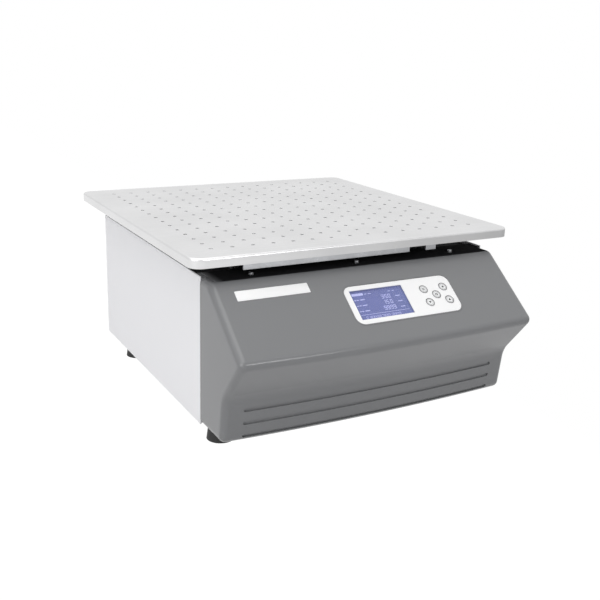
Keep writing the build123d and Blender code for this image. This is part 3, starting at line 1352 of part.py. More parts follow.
def main():
    os.makedirs("parts", exist_ok=True)
    tray_place = Pos(0, ORBIT_RADIUS, 0)
    write("platform_plate", tray_place * platform_plate())
    write("platform_carrier", tray_place * platform_carrier())
    write("platform_nuts", *[tray_place * nut for nut in platform_nuts()])
    write("crank_pin_bearing", tray_place * crank_pin_bearing())
    write("carrier_bearings", *[tray_place * one for one in idler_bearings(carrier_bearing_bottom())])

    write("crank_shaft", crank_shaft())
    write("driven_pulley", pulley(DRIVEN_PITCH_RADIUS, SHAFT_DIAMETER, HUB_DIAMETER))
    write("counterweight", counterweight())
    write("counterweight_screw", *grub_screws())

    write("motor_body", motor_body())
    write("motor_shaft", motor_shaft())
    small_pulley = pulley(MOTOR_PITCH_RADIUS, MOTOR_SHAFT_DIAMETER, HUB_DIAMETER)
    write("motor_pulley", Pos(0, MOTOR_Y, 0) * small_pulley)
    write("motor_plate", motor_plate())
    write("motor_standoffs", *motor_standoffs())
    write("motor_screws", *motor_screws())
    write("drive_belt", drive_belt())

    write("bearing_pedestal", bearing_pedestal())
    write("main_bearings", *main_bearings())
    write("base_screws", *base_screws())
    for name, (x, y) in IDLER_PLACES.items():
        write(f"idler_pillar_{name}", idler_pillar(x, y))
        write(f"idler_crank_{name}", idler_crank(x, y))
    write("pillar_bearings", *idler_bearings(pillar_top() - IDLER_BEARING_WIDTH))

    write("base_plate", base_plate())
    write("side_panel_left", side_panel(-1))
    write("side_panel_right", side_panel(1))
    write("rear_panel", rear_panel())
    write("cabinet_screws", *cabinet_screws())
    write("top_deck", top_deck())
    write("pan_head_screws", *small_screws())
    for name, (x, y) in FOOT_PLACES.items():
        write(f"foot_{name}", foot(x, y))
    write("foot_screws", *foot_screws())

    write("front_moulding", front_moulding())
    write("keypad_overlay", keypad_overlay())
    write("display_window", display_window())
    write("display_module", display_module())
    write("control_board", control_board())
    write("board_screws", *board_screws())
    for name, x, y in key_places():
        write(name, key(x, y))

    write("drive_board", drive_board())
    write("board_spacers", *board_spacers())
    write("mains_inlet", mains_inlet())
    write("inlet_blades", *inlet_blades())
    write("fuse_drawer", fuse_drawer())
    write("fuse", fuse())
    write("power_switch", power_switch())
    write("power_rocker", power_rocker())


main()
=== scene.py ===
import json
import math

import bpy
from mathutils import Matrix, Vector


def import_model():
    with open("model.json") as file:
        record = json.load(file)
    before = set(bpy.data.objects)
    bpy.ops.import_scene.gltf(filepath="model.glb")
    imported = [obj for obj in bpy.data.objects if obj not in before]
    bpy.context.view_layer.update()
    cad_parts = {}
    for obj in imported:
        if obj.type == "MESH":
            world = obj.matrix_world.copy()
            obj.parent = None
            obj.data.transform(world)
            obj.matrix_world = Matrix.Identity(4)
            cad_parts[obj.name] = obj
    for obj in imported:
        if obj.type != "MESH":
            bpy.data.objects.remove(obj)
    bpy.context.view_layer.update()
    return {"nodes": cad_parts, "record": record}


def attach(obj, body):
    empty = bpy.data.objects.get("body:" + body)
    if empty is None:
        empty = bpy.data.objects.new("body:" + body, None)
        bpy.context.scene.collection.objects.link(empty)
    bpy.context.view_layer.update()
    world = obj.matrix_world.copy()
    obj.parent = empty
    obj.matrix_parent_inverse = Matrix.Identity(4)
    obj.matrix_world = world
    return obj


# Orbital shaker. Lengths are in metres in the model's own frame: X to the right, Y to the
# rear, Z up, with the origin under the middle of the footprint.

MM = 0.001

# Camera, at the photograph's place and angle
CAMERA_PLACE = (-0.5678, -1.04155, 0.4654)
CAMERA_YAW = -0.508
CAMERA_PITCH = -0.278
CAMERA_ROLL = 0.03
FOCAL_PIXELS = 859.6
IMAGE_SIZE = 600
SENSOR_WIDTH = 36.0
PRINCIPAL_ROW = 283.2

# The slope that carries the control panel: the middle of its top edge, and its fall in degrees
SLOPE_ORIGIN = (0.0, -0.17925, 0.197)
SLOPE_ANGLE = 37.694

# Lengths on the slope are in mm. Places are across from its middle and up from its top edge,
# apart from values named down or depth
OVERLAY_X = 33.5
OVERLAY_DOWN = 56.7
OVERLAY_LENGTH = 155.0
OVERLAY_WIDTH = 55.0
OVERLAY_CORNER = 11.0

# The raised border round the overlay: its inner and outer gap, height, root and rounding
BORDER_START = 0.5
BORDER_END = 2.0
BORDER_HEIGHT = 0.4
BORDER_ROOT = 0.2
BORDER_BEVEL = 0.15

# The lit screen, seen through the window, and how far its marks stand out of it
SCREEN_X = 1.5
SCREEN_LENGTH = 75.5
SCREEN_WIDTH = 42.5
SCREEN_DEPTH = 3.09
SCREEN_OVERLAP = 1.5
SCREEN_CORNER = 1.0
SCREEN_SKIN = 0.08
MARK_HEIGHT = 0.06
MARK_ROOT = 0.02

# The screen's left and right ends in metres, between which its colour shifts
SCREEN_ENDS = (-0.036, 0.039)

# Marks on the screen: start and length from its left end, then low and high from a level.
# The title, the ticks and the rule are placed from the top edge, the words from their row
TITLE = ((3.0, 16.0), (-6.4, -3.0))
TICKS = ((21.0, 3.0), (26.0, 4.0), (55.0, 3.0), (61.0, 3.0))
TICK_LEVELS = (-5.4, -4.6)
RULE = ((3.0, 69.5), (-34.6, -34.1))
WORDS = ((3.5, 2.6), (7.0, 2.6), (11.5, 6.5))
WORD_LEVELS = (0.8, 2.0)
UNIT = ((62.5, 6.5), (0.4, 1.5))

# Rows of figures: text and start, the rows' levels, then width, height and stroke of a digit
ROWS = (("350", 43.0), ("15.0", 42.0), ("9999", 39.5))
FIRST_ROW = -14.0
ROW_STEP = 8.2
ROW_DIGITS_LEVEL = -0.4
ROW_DIGIT = (2.6, 5.0, 0.8)
FOOTER = "0123456789012345"
FOOTER_START = 9.0
FOOTER_LEVEL = -39.6
FOOTER_DIGIT = (1.8, 2.4, 0.45)

# A digit's pitch, and how far back and how wide a decimal point is, as shares of its width
DIGIT_PITCH = 1.75
POINT_BACK = 0.2
POINT_PITCH = 0.35

# The keys' middles, and the sizes of the rings and signs on them
KEYS = {
    "key_upper_left": (68.0, -46.7),
    "key_upper_right": (98.0, -46.7),
    "key_middle": (83.0, -56.7),
    "key_lower_left": (68.0, -66.7),
    "key_lower_right": (98.0, -66.7),
}
KEY_RINGS = ((4.9, 5.8), (3.6, 3.95))
SIGN_HEIGHT = 0.06
SIGN_ROOT = 0.05
LINE_STEPS = (-1.4, 0.0, 1.4)
LINE_HALF_LENGTH = 1.9
LINE_HALF_WIDTH = 0.35
SQUARE_HALF = 1.3
SQUARE_CORNER = 0.4
SIGN_RING = (1.0, 1.9)
ARROW_HALF = 2.1
ARROW_FOOT = 1.3
ARROW_TIP = 1.9

# How bright gloss sees the surroundings: a direction, where the change along it starts and
# ends, and the brightness at both
SKY_SLOPES = (
    ((0.0, 0.0, 1.0), 0.0, 0.75, 0.88, 1.0),
    ((0.35, -0.94, 0.0), 0.2, 1.0, 1.0, 0.76),
)

# How bright gloss sees the floor, from left to right in metres
FLOOR_FADE = {"From Min": 0.1, "From Max": 0.75, "To Min": 1.05, "To Max": 0.5}

# The bare name plate on the slope
PLATE_LEFT = -180.0
PLATE_RIGHT = -86.0
PLATE_TOP = -16.0
PLATE_BOTTOM = -30.0
PLATE_CORNER = 1.2
PLATE_THICKNESS = 0.6
PLATE_ROOT = 0.1
PLATE_BEVEL = 0.2

# The moulding's grey, and the painted shade on its flat lip: black where the lip lies in shadow under the
# tray. The painted shade starts between two heights, and fades in between two places across, at its left
# end
MOULDING_GREY = (0.205, 0.209, 0.215)
LIP_PAINTED_SHADE = (0.008, 0.008, 0.009)
LIP_SHADE_LEVELS = (0.1962, 0.19692)
LIP_SHADE_ENDS = (-0.204, -0.184)

# Where the boards end and their components begin: metres above the ground for the drive
# board, mm below the slope for the control board
DRIVE_BOARD_LEVEL = 0.0333
CONTROL_BOARD_DEPTH = 9.5

# The fuse's middle across and the half length of its glass between the caps
FUSE_X = 0.165
FUSE_GLASS_HALF = 0.0055

# Light: the world's strength, then name, place, aim, size and power of each lamp
WORLD_STRENGTH = 0.38
LAMPS = (
    ("overhead", (-0.4, 0.1, 2.6), (0.0, 0.0, 0.15), (2.6, 2.2), 30.0),
    ("left_front", (-2.4, -1.3, 1.5), (0.0, -0.05, 0.12), (1.8, 1.8), 31.0),
    ("chin_gleam", (0.42, -1.71, 0.80), (-0.2, -0.27, 0.13), (0.5, 0.14), 4.5),
)
FLOOR_HALF = 12.0
FLOOR_COLOR = (0.62, 0.62, 0.63)


# Nodes and materials


class Graph:
    """The nodes of one material, with short calls for the ones used here."""

    def __init__(self, name):
        self.material = bpy.data.materials.new(name)
        self.material.use_nodes = True
        self.nodes = self.material.node_tree.nodes
        self.links = self.material.node_tree.links
        self.shader = self.nodes["Principled BSDF"]
        self.place = self.add("ShaderNodeTexCoord").outputs["Object"]

    def add(self, kind, **settings):
        node = self.nodes.new(kind)
        for key, value in settings.items():
            setattr(node, key, value)
        return node

    def join(self, source, target):
        self.links.new(source, target)

    def mapped(self, scale):
        node = self.add("ShaderNodeMapping")
        node.inputs["Scale"].default_value = scale
        self.join(self.place, node.inputs["Vector"])
        return node.outputs["Vector"]

    def noise(self, scale, detail=2.0, stretch=(1, 1, 1), roughness=0.5):
        node = self.add("ShaderNodeTexNoise")
        node.inputs["Scale"].default_value = scale
        node.inputs["Detail"].default_value = detail
        node.inputs["Roughness"].default_value = roughness
        self.join(self.mapped(stretch), node.inputs["Vector"])
        return node.outputs["Fac"]

    def span(self, value, low, high, from_low=0.3, from_high=0.7):
        node = self.add("ShaderNodeMapRange")
        node.inputs["From Min"].default_value = from_low
        node.inputs["From Max"].default_value = from_high
        node.inputs["To Min"].default_value = low
        node.inputs["To Max"].default_value = high
        self.join(value, node.inputs["Value"])
        return node.outputs["Result"]

    def blend(self, factor, first, second):
        node = self.add("ShaderNodeMix", data_type="RGBA")
        self.join(factor, node.inputs["Factor"])
        for socket, value in ((node.inputs["A"], first), (node.inputs["B"], second)):
            if isinstance(value, bpy.types.NodeSocket):
                self.join(value, socket)
            else:
                socket.default_value = (*value, 1.0)
        return node.outputs["Result"]

    def along(self, direction):
        """How far a point lies along a direction."""
        dot = self.add("ShaderNodeVectorMath", operation="DOT_PRODUCT")
        self.join(self.place, dot.inputs[0])
        dot.inputs[1].default_value = direction
        return dot.outputs["Value"]

    def beyond(self, direction, offset):
        """1 where a point lies further along a direction than the offset, else 0."""
        above = self.add("ShaderNodeMath", operation="GREATER_THAN")
        self.join(self.along(direction), above.inputs[0])
        above.inputs[1].default_value = offset
        return above.outputs[0]

    def rise(self, direction, low, high):
        """0 up to the low offset along a direction, 1 from the high one, smooth between."""
        level = self.add("ShaderNodeMapRange", interpolation_type="SMOOTHSTEP")
        level.inputs["From Min"].default_value = low
        level.inputs["From Max"].default_value = high
        self.join(self.along(direction), level.inputs["Value"])
        return level.outputs["Result"]

    def combine(self, operation, first, second):
        node = self.add("ShaderNodeMath", operation=operation)
        self.join(first, node.inputs[0])
        self.join(second, node.inputs[1])
        return node.outputs[0]

    def rough(self, value, low, high):
        self.join(self.span(value, low, high), self.shader.inputs["Roughness"])

    def relief(self, height, distance):
        node = self.add("ShaderNodeBump")
        node.inputs["Distance"].default_value = distance
        self.join(height, node.inputs["Height"])
        self.join(node.outputs["Normal"], self.shader.inputs["Normal"])

    def base(self, value):
        socket = self.shader.inputs["Base Color"]
        if isinstance(value, bpy.types.NodeSocket):
            self.join(value, socket)
        else:
            socket.default_value = (*value, 1.0)

    def fix(self, **values):
        """Constants set straight on the shader's sockets; an underscore stands for a space."""
        for key, value in values.items():
            self.shader.inputs[key.replace("_", " ")].default_value = value


def shaded(color, amount):
    return tuple(min(1.0, channel * amount) for channel in color)


def mottled(graph, color, spread, scale, detail=3.0, stretch=(1, 1, 1)):
    """A colour that varies a little over the surface."""
    noise = graph.noise(scale, detail, stretch)
    factor = graph.span(noise, 0.0, 1.0)
    return graph.blend(factor, shaded(color, 1 - spread), shaded(color, 1 + spread))


def brushed_metal(name, color, roughness, grain=(3.0, 700.0, 700.0)):
    """Rolled or brushed sheet: long fine scratches and a faint cloudiness."""
    graph = Graph(name)
    scratches = graph.noise(1.0, 4.0, grain, 0.65)
    clouds = graph.noise(14.0, 3.0)
    tint = graph.blend(graph.span(clouds, 0.0, 1.0), shaded(color, 0.96), shaded(color, 1.04))
    graph.base(graph.blend(graph.span(scratches, 0.0, 0.16), tint, shaded(color, 0.72)))
    graph.rough(scratches, roughness * 0.85, roughness * 1.2)
    graph.relief(scratches, 0.00001)
    graph.fix(Metallic=1.0)
    return graph.material


def plain_metal(name, color, roughness, scale=260.0, spread=0.06, depth=0.00002):
    """Machined or plated metal with fine specks."""
    graph = Graph(name)
    graph.base(mottled(graph, color, spread, scale * 0.2))
    fine = graph.noise(scale, 4.0)
    graph.rough(fine, roughness * 0.8, roughness * 1.25)
    graph.relief(fine, depth)
    graph.fix(Metallic=1.0)
    return graph.material


def coating(name, color, roughness, scale, depth, spread=0.02, patch=9.0, coat=0.0, gloss=0.5):
    """Paint, moulded plastic or rubber: even colour, fine surface texture."""
    graph = Graph(name)
    graph.base(mottled(graph, color, spread, patch))
    fine = graph.noise(scale, 3.0)
    graph.rough(fine, roughness * 0.9, roughness * 1.12)
    graph.relief(fine, depth)
    graph.fix(Coat_Weight=coat, Coat_Roughness=0.25, Specular_IOR_Level=gloss)
    return graph.material


def moulding_with_lip_shade(name, color, lip_shade_color, roughness):
    """Fine-textured grey moulding, with painted shade: matt black on the flat lip in the shadow under the
    tray.
    """
    graph = Graph(name)
    # Painted shade: the flat lip is coloured black, rough and dull where it lies in shadow under the
    # tray, fading in at its left end.
    high = graph.rise((0, 0, 1), *LIP_SHADE_LEVELS)
    inside = graph.rise((1, 0, 0), *LIP_SHADE_ENDS)
    lip_shade_mask = graph.combine("MULTIPLY", high, inside)
    graph.base(graph.blend(lip_shade_mask, mottled(graph, color, 0.012, 5.0), lip_shade_color))
    fine = graph.noise(1500.0, 3.0)
    rough = graph.span(fine, roughness * 0.9, roughness * 1.12)
    graph.join(graph.combine("MAXIMUM", rough, lip_shade_mask), graph.shader.inputs["Roughness"])
    gloss = graph.span(lip_shade_mask, 0.5, 0.1, 0.0, 1.0)
    graph.join(gloss, graph.shader.inputs["Specular IOR Level"])
    graph.relief(fine, 0.00004)
    return graph.material


def clear_sheet(name, tint):
    """A thin clear pane: mostly let through, with a soft sheen."""
    graph = Graph(name)
    graph.base(mottled(graph, tint, 0.01, 6.0))
    smear = graph.noise(40.0, 2.0)
    graph.rough(smear, 0.05, 0.12)
    graph.fix(Alpha=0.08, IOR=1.45, Specular_IOR_Level=0.15)
    return graph.material


def circuit_board(name, direction, offset, green=(0.012, 0.10, 0.045)):
    """Green lacquer with paler tracks, and dark components beyond the board's face."""
    graph = Graph(name)
    tracks = graph.add("ShaderNodeTexBrick")
    tracks.offset = 0.37
    tracks.squash = 0.7
    tracks.inputs["Scale"].default_value = 90.0
    tracks.inputs["Mortar Size"].default_value = 0.02
    tracks.inputs["Color1"].default_value = (*green, 1.0)
    tracks.inputs["Color2"].default_value = (*shaded(green, 1.35), 1.0)
    tracks.inputs["Mortar"].default_value = (*shaded(green, 2.6), 1.0)
    graph.join(graph.mapped((1, 1, 1)), tracks.inputs["Vector"])
    parts = mottled(graph, (0.035, 0.035, 0.04), 0.3, 120.0)
    graph.base(graph.blend(graph.beyond(direction, offset), tracks.outputs["Color"], parts))
    fine = graph.noise(500.0, 2.0)
    graph.rough(fine, 0.28, 0.42)
    graph.relief(fine, 0.00002)
    return graph.material


def glowing(name, color, end_color, strength):
    """A lit screen whose colour shifts a little towards its right end."""
    graph = Graph(name)
    left, right = SCREEN_ENDS
    length = right - left
    tone = mottled(graph, color, 0.04, 60.0)
    ramp = graph.add("ShaderNodeTexGradient", gradient_type="LINEAR")
    graph.join(graph.mapped((1 / length, 1, 1)), ramp.inputs["Vector"])
    shade = graph.span(ramp.outputs["Fac"], 0.0, 0.35, left / length, right / length)
    toned = graph.blend(shade, tone, end_color)
    graph.base(toned)
    graph.join(toned, graph.shader.inputs["Emission Color"])
    graph.fix(Emission_Strength=strength, Roughness=0.35, Specular_IOR_Level=0.1)
    return graph.material


def capped_glass(name, middle_x, half_length):
    """A glass fuse tube with metal caps at both ends."""
    graph = Graph(name)
    right = graph.beyond((1, 0, 0), middle_x + half_length)
    left = graph.beyond((-1, 0, 0), -middle_x + half_length)
    caps = graph.combine("MAXIMUM", right, left)
    graph.base(graph.blend(caps, (0.80, 0.84, 0.84), (0.62, 0.60, 0.55)))
    graph.join(caps, graph.shader.inputs["Metallic"])
    fine = graph.noise(300.0, 2.0)
    graph.rough(fine, 0.08, 0.2)
    graph.relief(fine, 0.00001)
    return graph.material


# Geometry helpers


def panel_point(x, y, depth):
    """A point on the slope: mm across, mm up from its top edge, mm below its surface."""
    angle = math.radians(SLOPE_ANGLE)
    forward = math.cos(angle)
    down = math.sin(angle)
    up = Vector((0, forward, down))
    normal = Vector((0, -down, forward))
    across = Vector((x, 0, 0)) * MM
    return Vector(SLOPE_ORIGIN) + across + up * (y * MM) - normal * (depth * MM)


def mesh_piece(name, vertices, faces, material, body):
    mesh = bpy.data.meshes.new(name)
    mesh.from_pydata([tuple(v) for v in vertices], [], faces)
    mesh.update()
    piece = bpy.data.objects.new(name, mesh)
    bpy.context.scene.collection.objects.link(piece)
    mesh.materials.append(material)
    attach(piece, body)
    return piece


def bevelled(piece, width, segments=3):
    modifier = piece.modifiers.new("rounded_edges", "BEVEL")
    modifier.width = width * MM
    modifier.segments = segments
    modifier.limit_method = "ANGLE"
    for polygon in piece.data.polygons:
        polygon.use_smooth = True
    return piece


def rounded_rectangle(left, right, bottom, top, corner, steps=8):
    """Points of a rectangle with round corners, counter-clockwise."""
    points = []
    centres = ((right - corner, top - corner), (left + corner, top - corner),
               (left + corner, bottom + corner), (right - corner, bottom + corner))
    for quarter, (x, y) in enumerate(centres):
        for step in range(steps + 1):
            angle = math.pi / 2 * (quarter + step / steps)
            points.append((x + corner * math.cos(angle), y + corner * math.sin(angle)))
    return points


def circle(x, y, radius, steps):
    turns = [2 * math.pi * step / steps for step in range(steps)]
    return [(x + radius * math.cos(turn), y + radius * math.sin(turn)) for turn in turns]


def slab(outline, face_depth, back_depth):
    """Vertices and faces of an outline on the slope, filled between two depths."""
    count = len(outline)
    vertices = [panel_point(x, y, face_depth) for x, y in outline]
    vertices += [panel_point(x, y, back_depth) for x, y in outline]
    faces = [tuple(range(count)), tuple(range(2 * count - 1, count - 1, -1))]
    for index in range(count):
        after = (index + 1) % count
        faces.append((index, index + count, after + count, after))
    return vertices, faces


def ring_between(inner, outer, face_depth, back_depth):
    """Vertices and faces of a flat ring on the slope, between two outlines of as many points."""
    loops = ((outer, face_depth), (inner, face_depth), (inner, back_depth), (outer, back_depth))
    vertices = []
    for outline, depth in loops:
        vertices += [panel_point(x, y, depth) for x, y in outline]
    count = len(inner)
    faces = []
    for loop in range(len(loops)):
        base = loop * count
        other = (loop + 1) % len(loops) * count
        for step in range(count):
            after = (step + 1) % count
            faces.append((base + step, base + after, other + after, other + step))
    return vertices, faces


def washer(x, y, inner, outer, face_depth, back_depth, steps=48):
    inner_circle = circle(x, y, inner, steps)
    outer_circle = circle(x, y, outer, steps)
    return ring_between(inner_circle, outer_circle, face_depth, back_depth)


def gathered(parts):
    """Several (vertices, faces) as one."""
    vertices = []
    faces = []
    for some_vertices, some_faces in parts:
        start = len(vertices)
        vertices += some_vertices
        faces += [tuple(index + start for index in face) for face in some_faces]
    return vertices, faces


# Pieces on the slope


def name_plate(material):
    outline = rounded_rectangle(PLATE_LEFT, PLATE_RIGHT, PLATE_BOTTOM, PLATE_TOP, PLATE_CORNER)
    vertices, faces = slab(outline, -PLATE_THICKNESS, PLATE_ROOT)
    piece = mesh_piece("name_plate", vertices, faces, material, "base")
    return bevelled(piece, PLATE_BEVEL)


def overlay_band(gap):
    """The white overlay's outline, grown all round by a gap."""
    left = OVERLAY_X - OVERLAY_LENGTH / 2 - gap
    right = OVERLAY_X + OVERLAY_LENGTH / 2 + gap
    bottom = -OVERLAY_DOWN - OVERLAY_WIDTH / 2 - gap
    top = -OVERLAY_DOWN + OVERLAY_WIDTH / 2 + gap
    return rounded_rectangle(left, right, bottom, top, OVERLAY_CORNER + gap)


def panel_border(material):
    """The moulding's low raised border round the overlay."""
    inner = overlay_band(BORDER_START)
    outer = overlay_band(BORDER_END)
    vertices, faces = ring_between(inner, outer, -BORDER_HEIGHT, BORDER_ROOT)
    piece = mesh_piece("panel_border", vertices, faces, material, "base")
    return bevelled(piece, BORDER_BEVEL, 2)


def screen_face(material):
    left = SCREEN_X - SCREEN_LENGTH / 2 - SCREEN_OVERLAP
    right = SCREEN_X + SCREEN_LENGTH / 2 + SCREEN_OVERLAP
    bottom = -OVERLAY_DOWN - SCREEN_WIDTH / 2 - SCREEN_OVERLAP
    top = -OVERLAY_DOWN + SCREEN_WIDTH / 2 + SCREEN_OVERLAP
    outline = rounded_rectangle(left, right, bottom, top, SCREEN_CORNER)
    vertices, faces = slab(outline, SCREEN_DEPTH, SCREEN_DEPTH + SCREEN_SKIN)
    return mesh_piece("screen_face", vertices, faces, material, "base")


# A digit's bars: where each starts and ends, as shares of its width and height
SEGMENTS = {
    "a": (0.0, 1.0, 1.0, 1.0),
    "b": (1.0, 0.5, 1.0, 1.0),
    "c": (1.0, 0.0, 1.0, 0.5),
    "d": (0.0, 0.0, 1.0, 0.0),
    "e": (0.0, 0.0, 0.0, 0.5),
    "f": (0.0, 0.5, 0.0, 1.0),
    "g": (0.0, 0.5, 1.0, 0.5),
}
DIGITS = {
    "0": "abcdef", "1": "bc", "2": "abdeg", "3": "abcdg", "4": "bcfg",
    "5": "acdfg", "6": "acdefg", "7": "abc", "8": "abcdefg", "9": "abcdfg",
}


def bar(x_low, y_low, x_high, y_high):
    """A small raised bar on the screen."""
    outline = [(x_low, y_low), (x_high, y_low), (x_high, y_high), (x_low, y_high)]
    return slab(outline, SCREEN_DEPTH - MARK_HEIGHT, SCREEN_DEPTH + MARK_ROOT)


def digit_bars(text, left, bottom, width, height, stroke):
    """Seven-segment digits from left to right; a point stands for a decimal point."""
    parts = []
    x = left
    for sign in text:
        if sign == ".":
            dot = x - width * POINT_BACK
            parts.append(bar(dot, bottom - stroke / 2, dot + stroke, bottom + stroke / 2))
            x += width * POINT_PITCH
            continue
        for name in DIGITS[sign]:
            x0, y0, x1, y1 = SEGMENTS[name]
            low_x = x + x0 * width - stroke / 2
            high_x = x + x1 * width + stroke / 2
            low_y = bottom + y0 * height - stroke / 2
            high_y = bottom + y1 * height + stroke / 2
            parts.append(bar(low_x, low_y, high_x, high_y))
        x += width * DIGIT_PITCH
    return parts


def screen_marks(material):
    """Figures and rules shown on the screen."""
    left = SCREEN_X - SCREEN_LENGTH / 2
    top = -OVERLAY_DOWN + SCREEN_WIDTH / 2

    def dash(span, heights, level):
        start, length = span
        low, high = heights
        return bar(left + start, level + low, left + start + length, level + high)

    parts = [dash(*TITLE, top)]
    parts += [dash(tick, TICK_LEVELS, top) for tick in TICKS]
    for row, (figures, start) in enumerate(ROWS):
        level = top + FIRST_ROW - ROW_STEP * row
        parts += [dash(word, WORD_LEVELS, level) for word in WORDS]
        parts += digit_bars(figures, left + start, level + ROW_DIGITS_LEVEL, *ROW_DIGIT)
        parts.append(dash(*UNIT, level))
    parts.append(dash(*RULE, top))
    parts += digit_bars(FOOTER, left + FOOTER_START, top + FOOTER_LEVEL, *FOOTER_DIGIT)
    vertices, faces = gathered(parts)
    return mesh_piece("screen_marks", vertices, faces, material, "base")


def key_sign(name, x, y):
    """The sign of one key: bars, a square, a ring, or an arrow up or down."""
    depths = (-SIGN_HEIGHT, SIGN_ROOT)
    if name == "key_upper_left":
        lines = []
        for step in LINE_STEPS:
            low = y + step - LINE_HALF_WIDTH
            high = y + step + LINE_HALF_WIDTH
            left = x - LINE_HALF_LENGTH
            right = x + LINE_HALF_LENGTH
            lines.append(slab([(left, low), (right, low), (right, high), (left, high)], *depths))
        return lines
    if name == "key_upper_right":
        square = rounded_rectangle(x - SQUARE_HALF, x + SQUARE_HALF, y - SQUARE_HALF, y + SQUARE_HALF,
                                   SQUARE_CORNER, 3)
        return [slab(square, *depths)]
    if name == "key_middle":
        return [washer(x, y, *SIGN_RING, *depths, 32)]
    side = 1 if name == "key_lower_right" else -1
    foot = y - ARROW_FOOT * side
    arrow = [(x - ARROW_HALF, foot), (x + ARROW_HALF, foot), (x, y + ARROW_TIP * side)]
    if side < 0:
        arrow.reverse()
    return [slab(arrow, *depths)]


def key_signs(material):
    """Two rings and a plain sign on each key."""
    for name, (x, y) in KEYS.items():
        parts = [washer(x, y, *ring, -SIGN_HEIGHT, SIGN_ROOT) for ring in KEY_RINGS]
        parts += key_sign(name, x, y)
        vertices, faces = gathered(parts)
        mesh_piece(name + "_sign", vertices, faces, material, name)


# Stage


def camera():
    forward = Vector((math.sin(-CAMERA_YAW) * math.cos(CAMERA_PITCH),
                      math.cos(-CAMERA_YAW) * math.cos(CAMERA_PITCH),
                      math.sin(CAMERA_PITCH)))
    right = forward.cross(Vector((0, 0, 1))).normalized()
    up = right.cross(forward)
    rolled_right = math.cos(CAMERA_ROLL) * right + math.sin(CAMERA_ROLL) * up
    rolled_up = -math.sin(CAMERA_ROLL) * right + math.cos(CAMERA_ROLL) * up
    data = bpy.data.cameras.new("camera")
    data.sensor_width = SENSOR_WIDTH
    data.lens = FOCAL_PIXELS / IMAGE_SIZE * SENSOR_WIDTH
    data.shift_y = (PRINCIPAL_ROW - IMAGE_SIZE / 2) / IMAGE_SIZE
    data.clip_start = 0.05
    data.clip_end = 100.0
    eye = bpy.data.objects.new("camera", data)
    turn = Matrix((rolled_right, rolled_up, -forward)).transposed()
    eye.matrix_world = Matrix.Translation(CAMERA_PLACE) @ turn.to_4x4()
    bpy.context.scene.collection.objects.link(eye)
    bpy.context.scene.camera = eye


def area_light(name, place, aim, size, power):
    data = bpy.data.lights.new(name, "AREA")
    data.shape = "RECTANGLE"
    data.size, data.size_y = size
    data.energy = power
    lamp = bpy.data.objects.new(name, data)
    lamp.location = place
    lamp.rotation_euler = (Vector(aim) - Vector(place)).to_track_quat("-Z", "Y").to_euler()
    bpy.context.scene.collection.objects.link(lamp)


def kind_of_ray(nodes, kind):
    return nodes.new("ShaderNodeLightPath").outputs[kind]


def mirrored_sky(nodes, links):
    """What gloss shows: bright overhead, darker towards the horizon, darkest in front."""
    direction = nodes.new("ShaderNodeTexCoord").outputs["Generated"]
    levels = []
    for axis, from_low, from_high, low, high in SKY_SLOPES:
        dot = nodes.new("ShaderNodeVectorMath")
        dot.operation = "DOT_PRODUCT"
        dot.inputs[1].default_value = axis
        links.new(direction, dot.inputs[0])
        level = nodes.new("ShaderNodeMapRange")
        level.interpolation_type = "SMOOTHSTEP"
        level.inputs["From Min"].default_value = from_low
        level.inputs["From Max"].default_value = from_high
        level.inputs["To Min"].default_value = low
        level.inputs["To Max"].default_value = high
        links.new(dot.outputs["Value"], level.inputs["Value"])
        levels.append(level.outputs["Result"])
    product = nodes.new("ShaderNodeMath")
    product.operation = "MULTIPLY"
    links.new(levels[0], product.inputs[0])
    links.new(levels[1], product.inputs[1])
    return product.outputs[0]


def world_light(strength):
    world = bpy.data.worlds.new("studio")
    bpy.context.scene.world = world
    world.use_nodes = True
    nodes = world.node_tree.nodes
    links = world.node_tree.links
    nodes.clear()
    output = nodes.new("ShaderNodeOutputWorld")
    plain = nodes.new("ShaderNodeBackground")
    plain.inputs["Strength"].default_value = strength
    sky = nodes.new("ShaderNodeBackground")
    links.new(mirrored_sky(nodes, links), sky.inputs["Strength"])
    white = nodes.new("ShaderNodeBackground")
    for light in (plain, sky, white):
        light.inputs["Color"].default_value = (1, 1, 1, 1)
    gloss = nodes.new("ShaderNodeMixShader")
    links.new(kind_of_ray(nodes, "Is Glossy Ray"), gloss.inputs["Fac"])
    links.new(plain.outputs[0], gloss.inputs[1])
    links.new(sky.outputs[0], gloss.inputs[2])
    seen = nodes.new("ShaderNodeMixShader")
    links.new(kind_of_ray(nodes, "Is Camera Ray"), seen.inputs["Fac"])
    links.new(gloss.outputs[0], seen.inputs[1])
    links.new(white.outputs[0], seen.inputs[2])
    links.new(seen.outputs[0], output.inputs["Surface"])


def floor_glow(nodes, links, seen):
    """White for the camera; for gloss, a floor that darkens to the right."""
    place = nodes.new("ShaderNodeTexCoord").outputs["Object"]
    across = nodes.new("ShaderNodeSeparateXYZ")
    links.new(place, across.inputs[0])
    fade = nodes.new("ShaderNodeMapRange")
    fade.interpolation_type = "SMOOTHSTEP"
    for name, value in FLOOR_FADE.items():
        fade.inputs[name].default_value = value
    links.new(across.outputs["X"], fade.inputs["Value"])
    glow = nodes.new("ShaderNodeMath")
    glow.operation = "MAXIMUM"
    links.new(seen, glow.inputs[0])
    links.new(fade.outputs["Result"], glow.inputs[1])
    return glow.outputs[0]


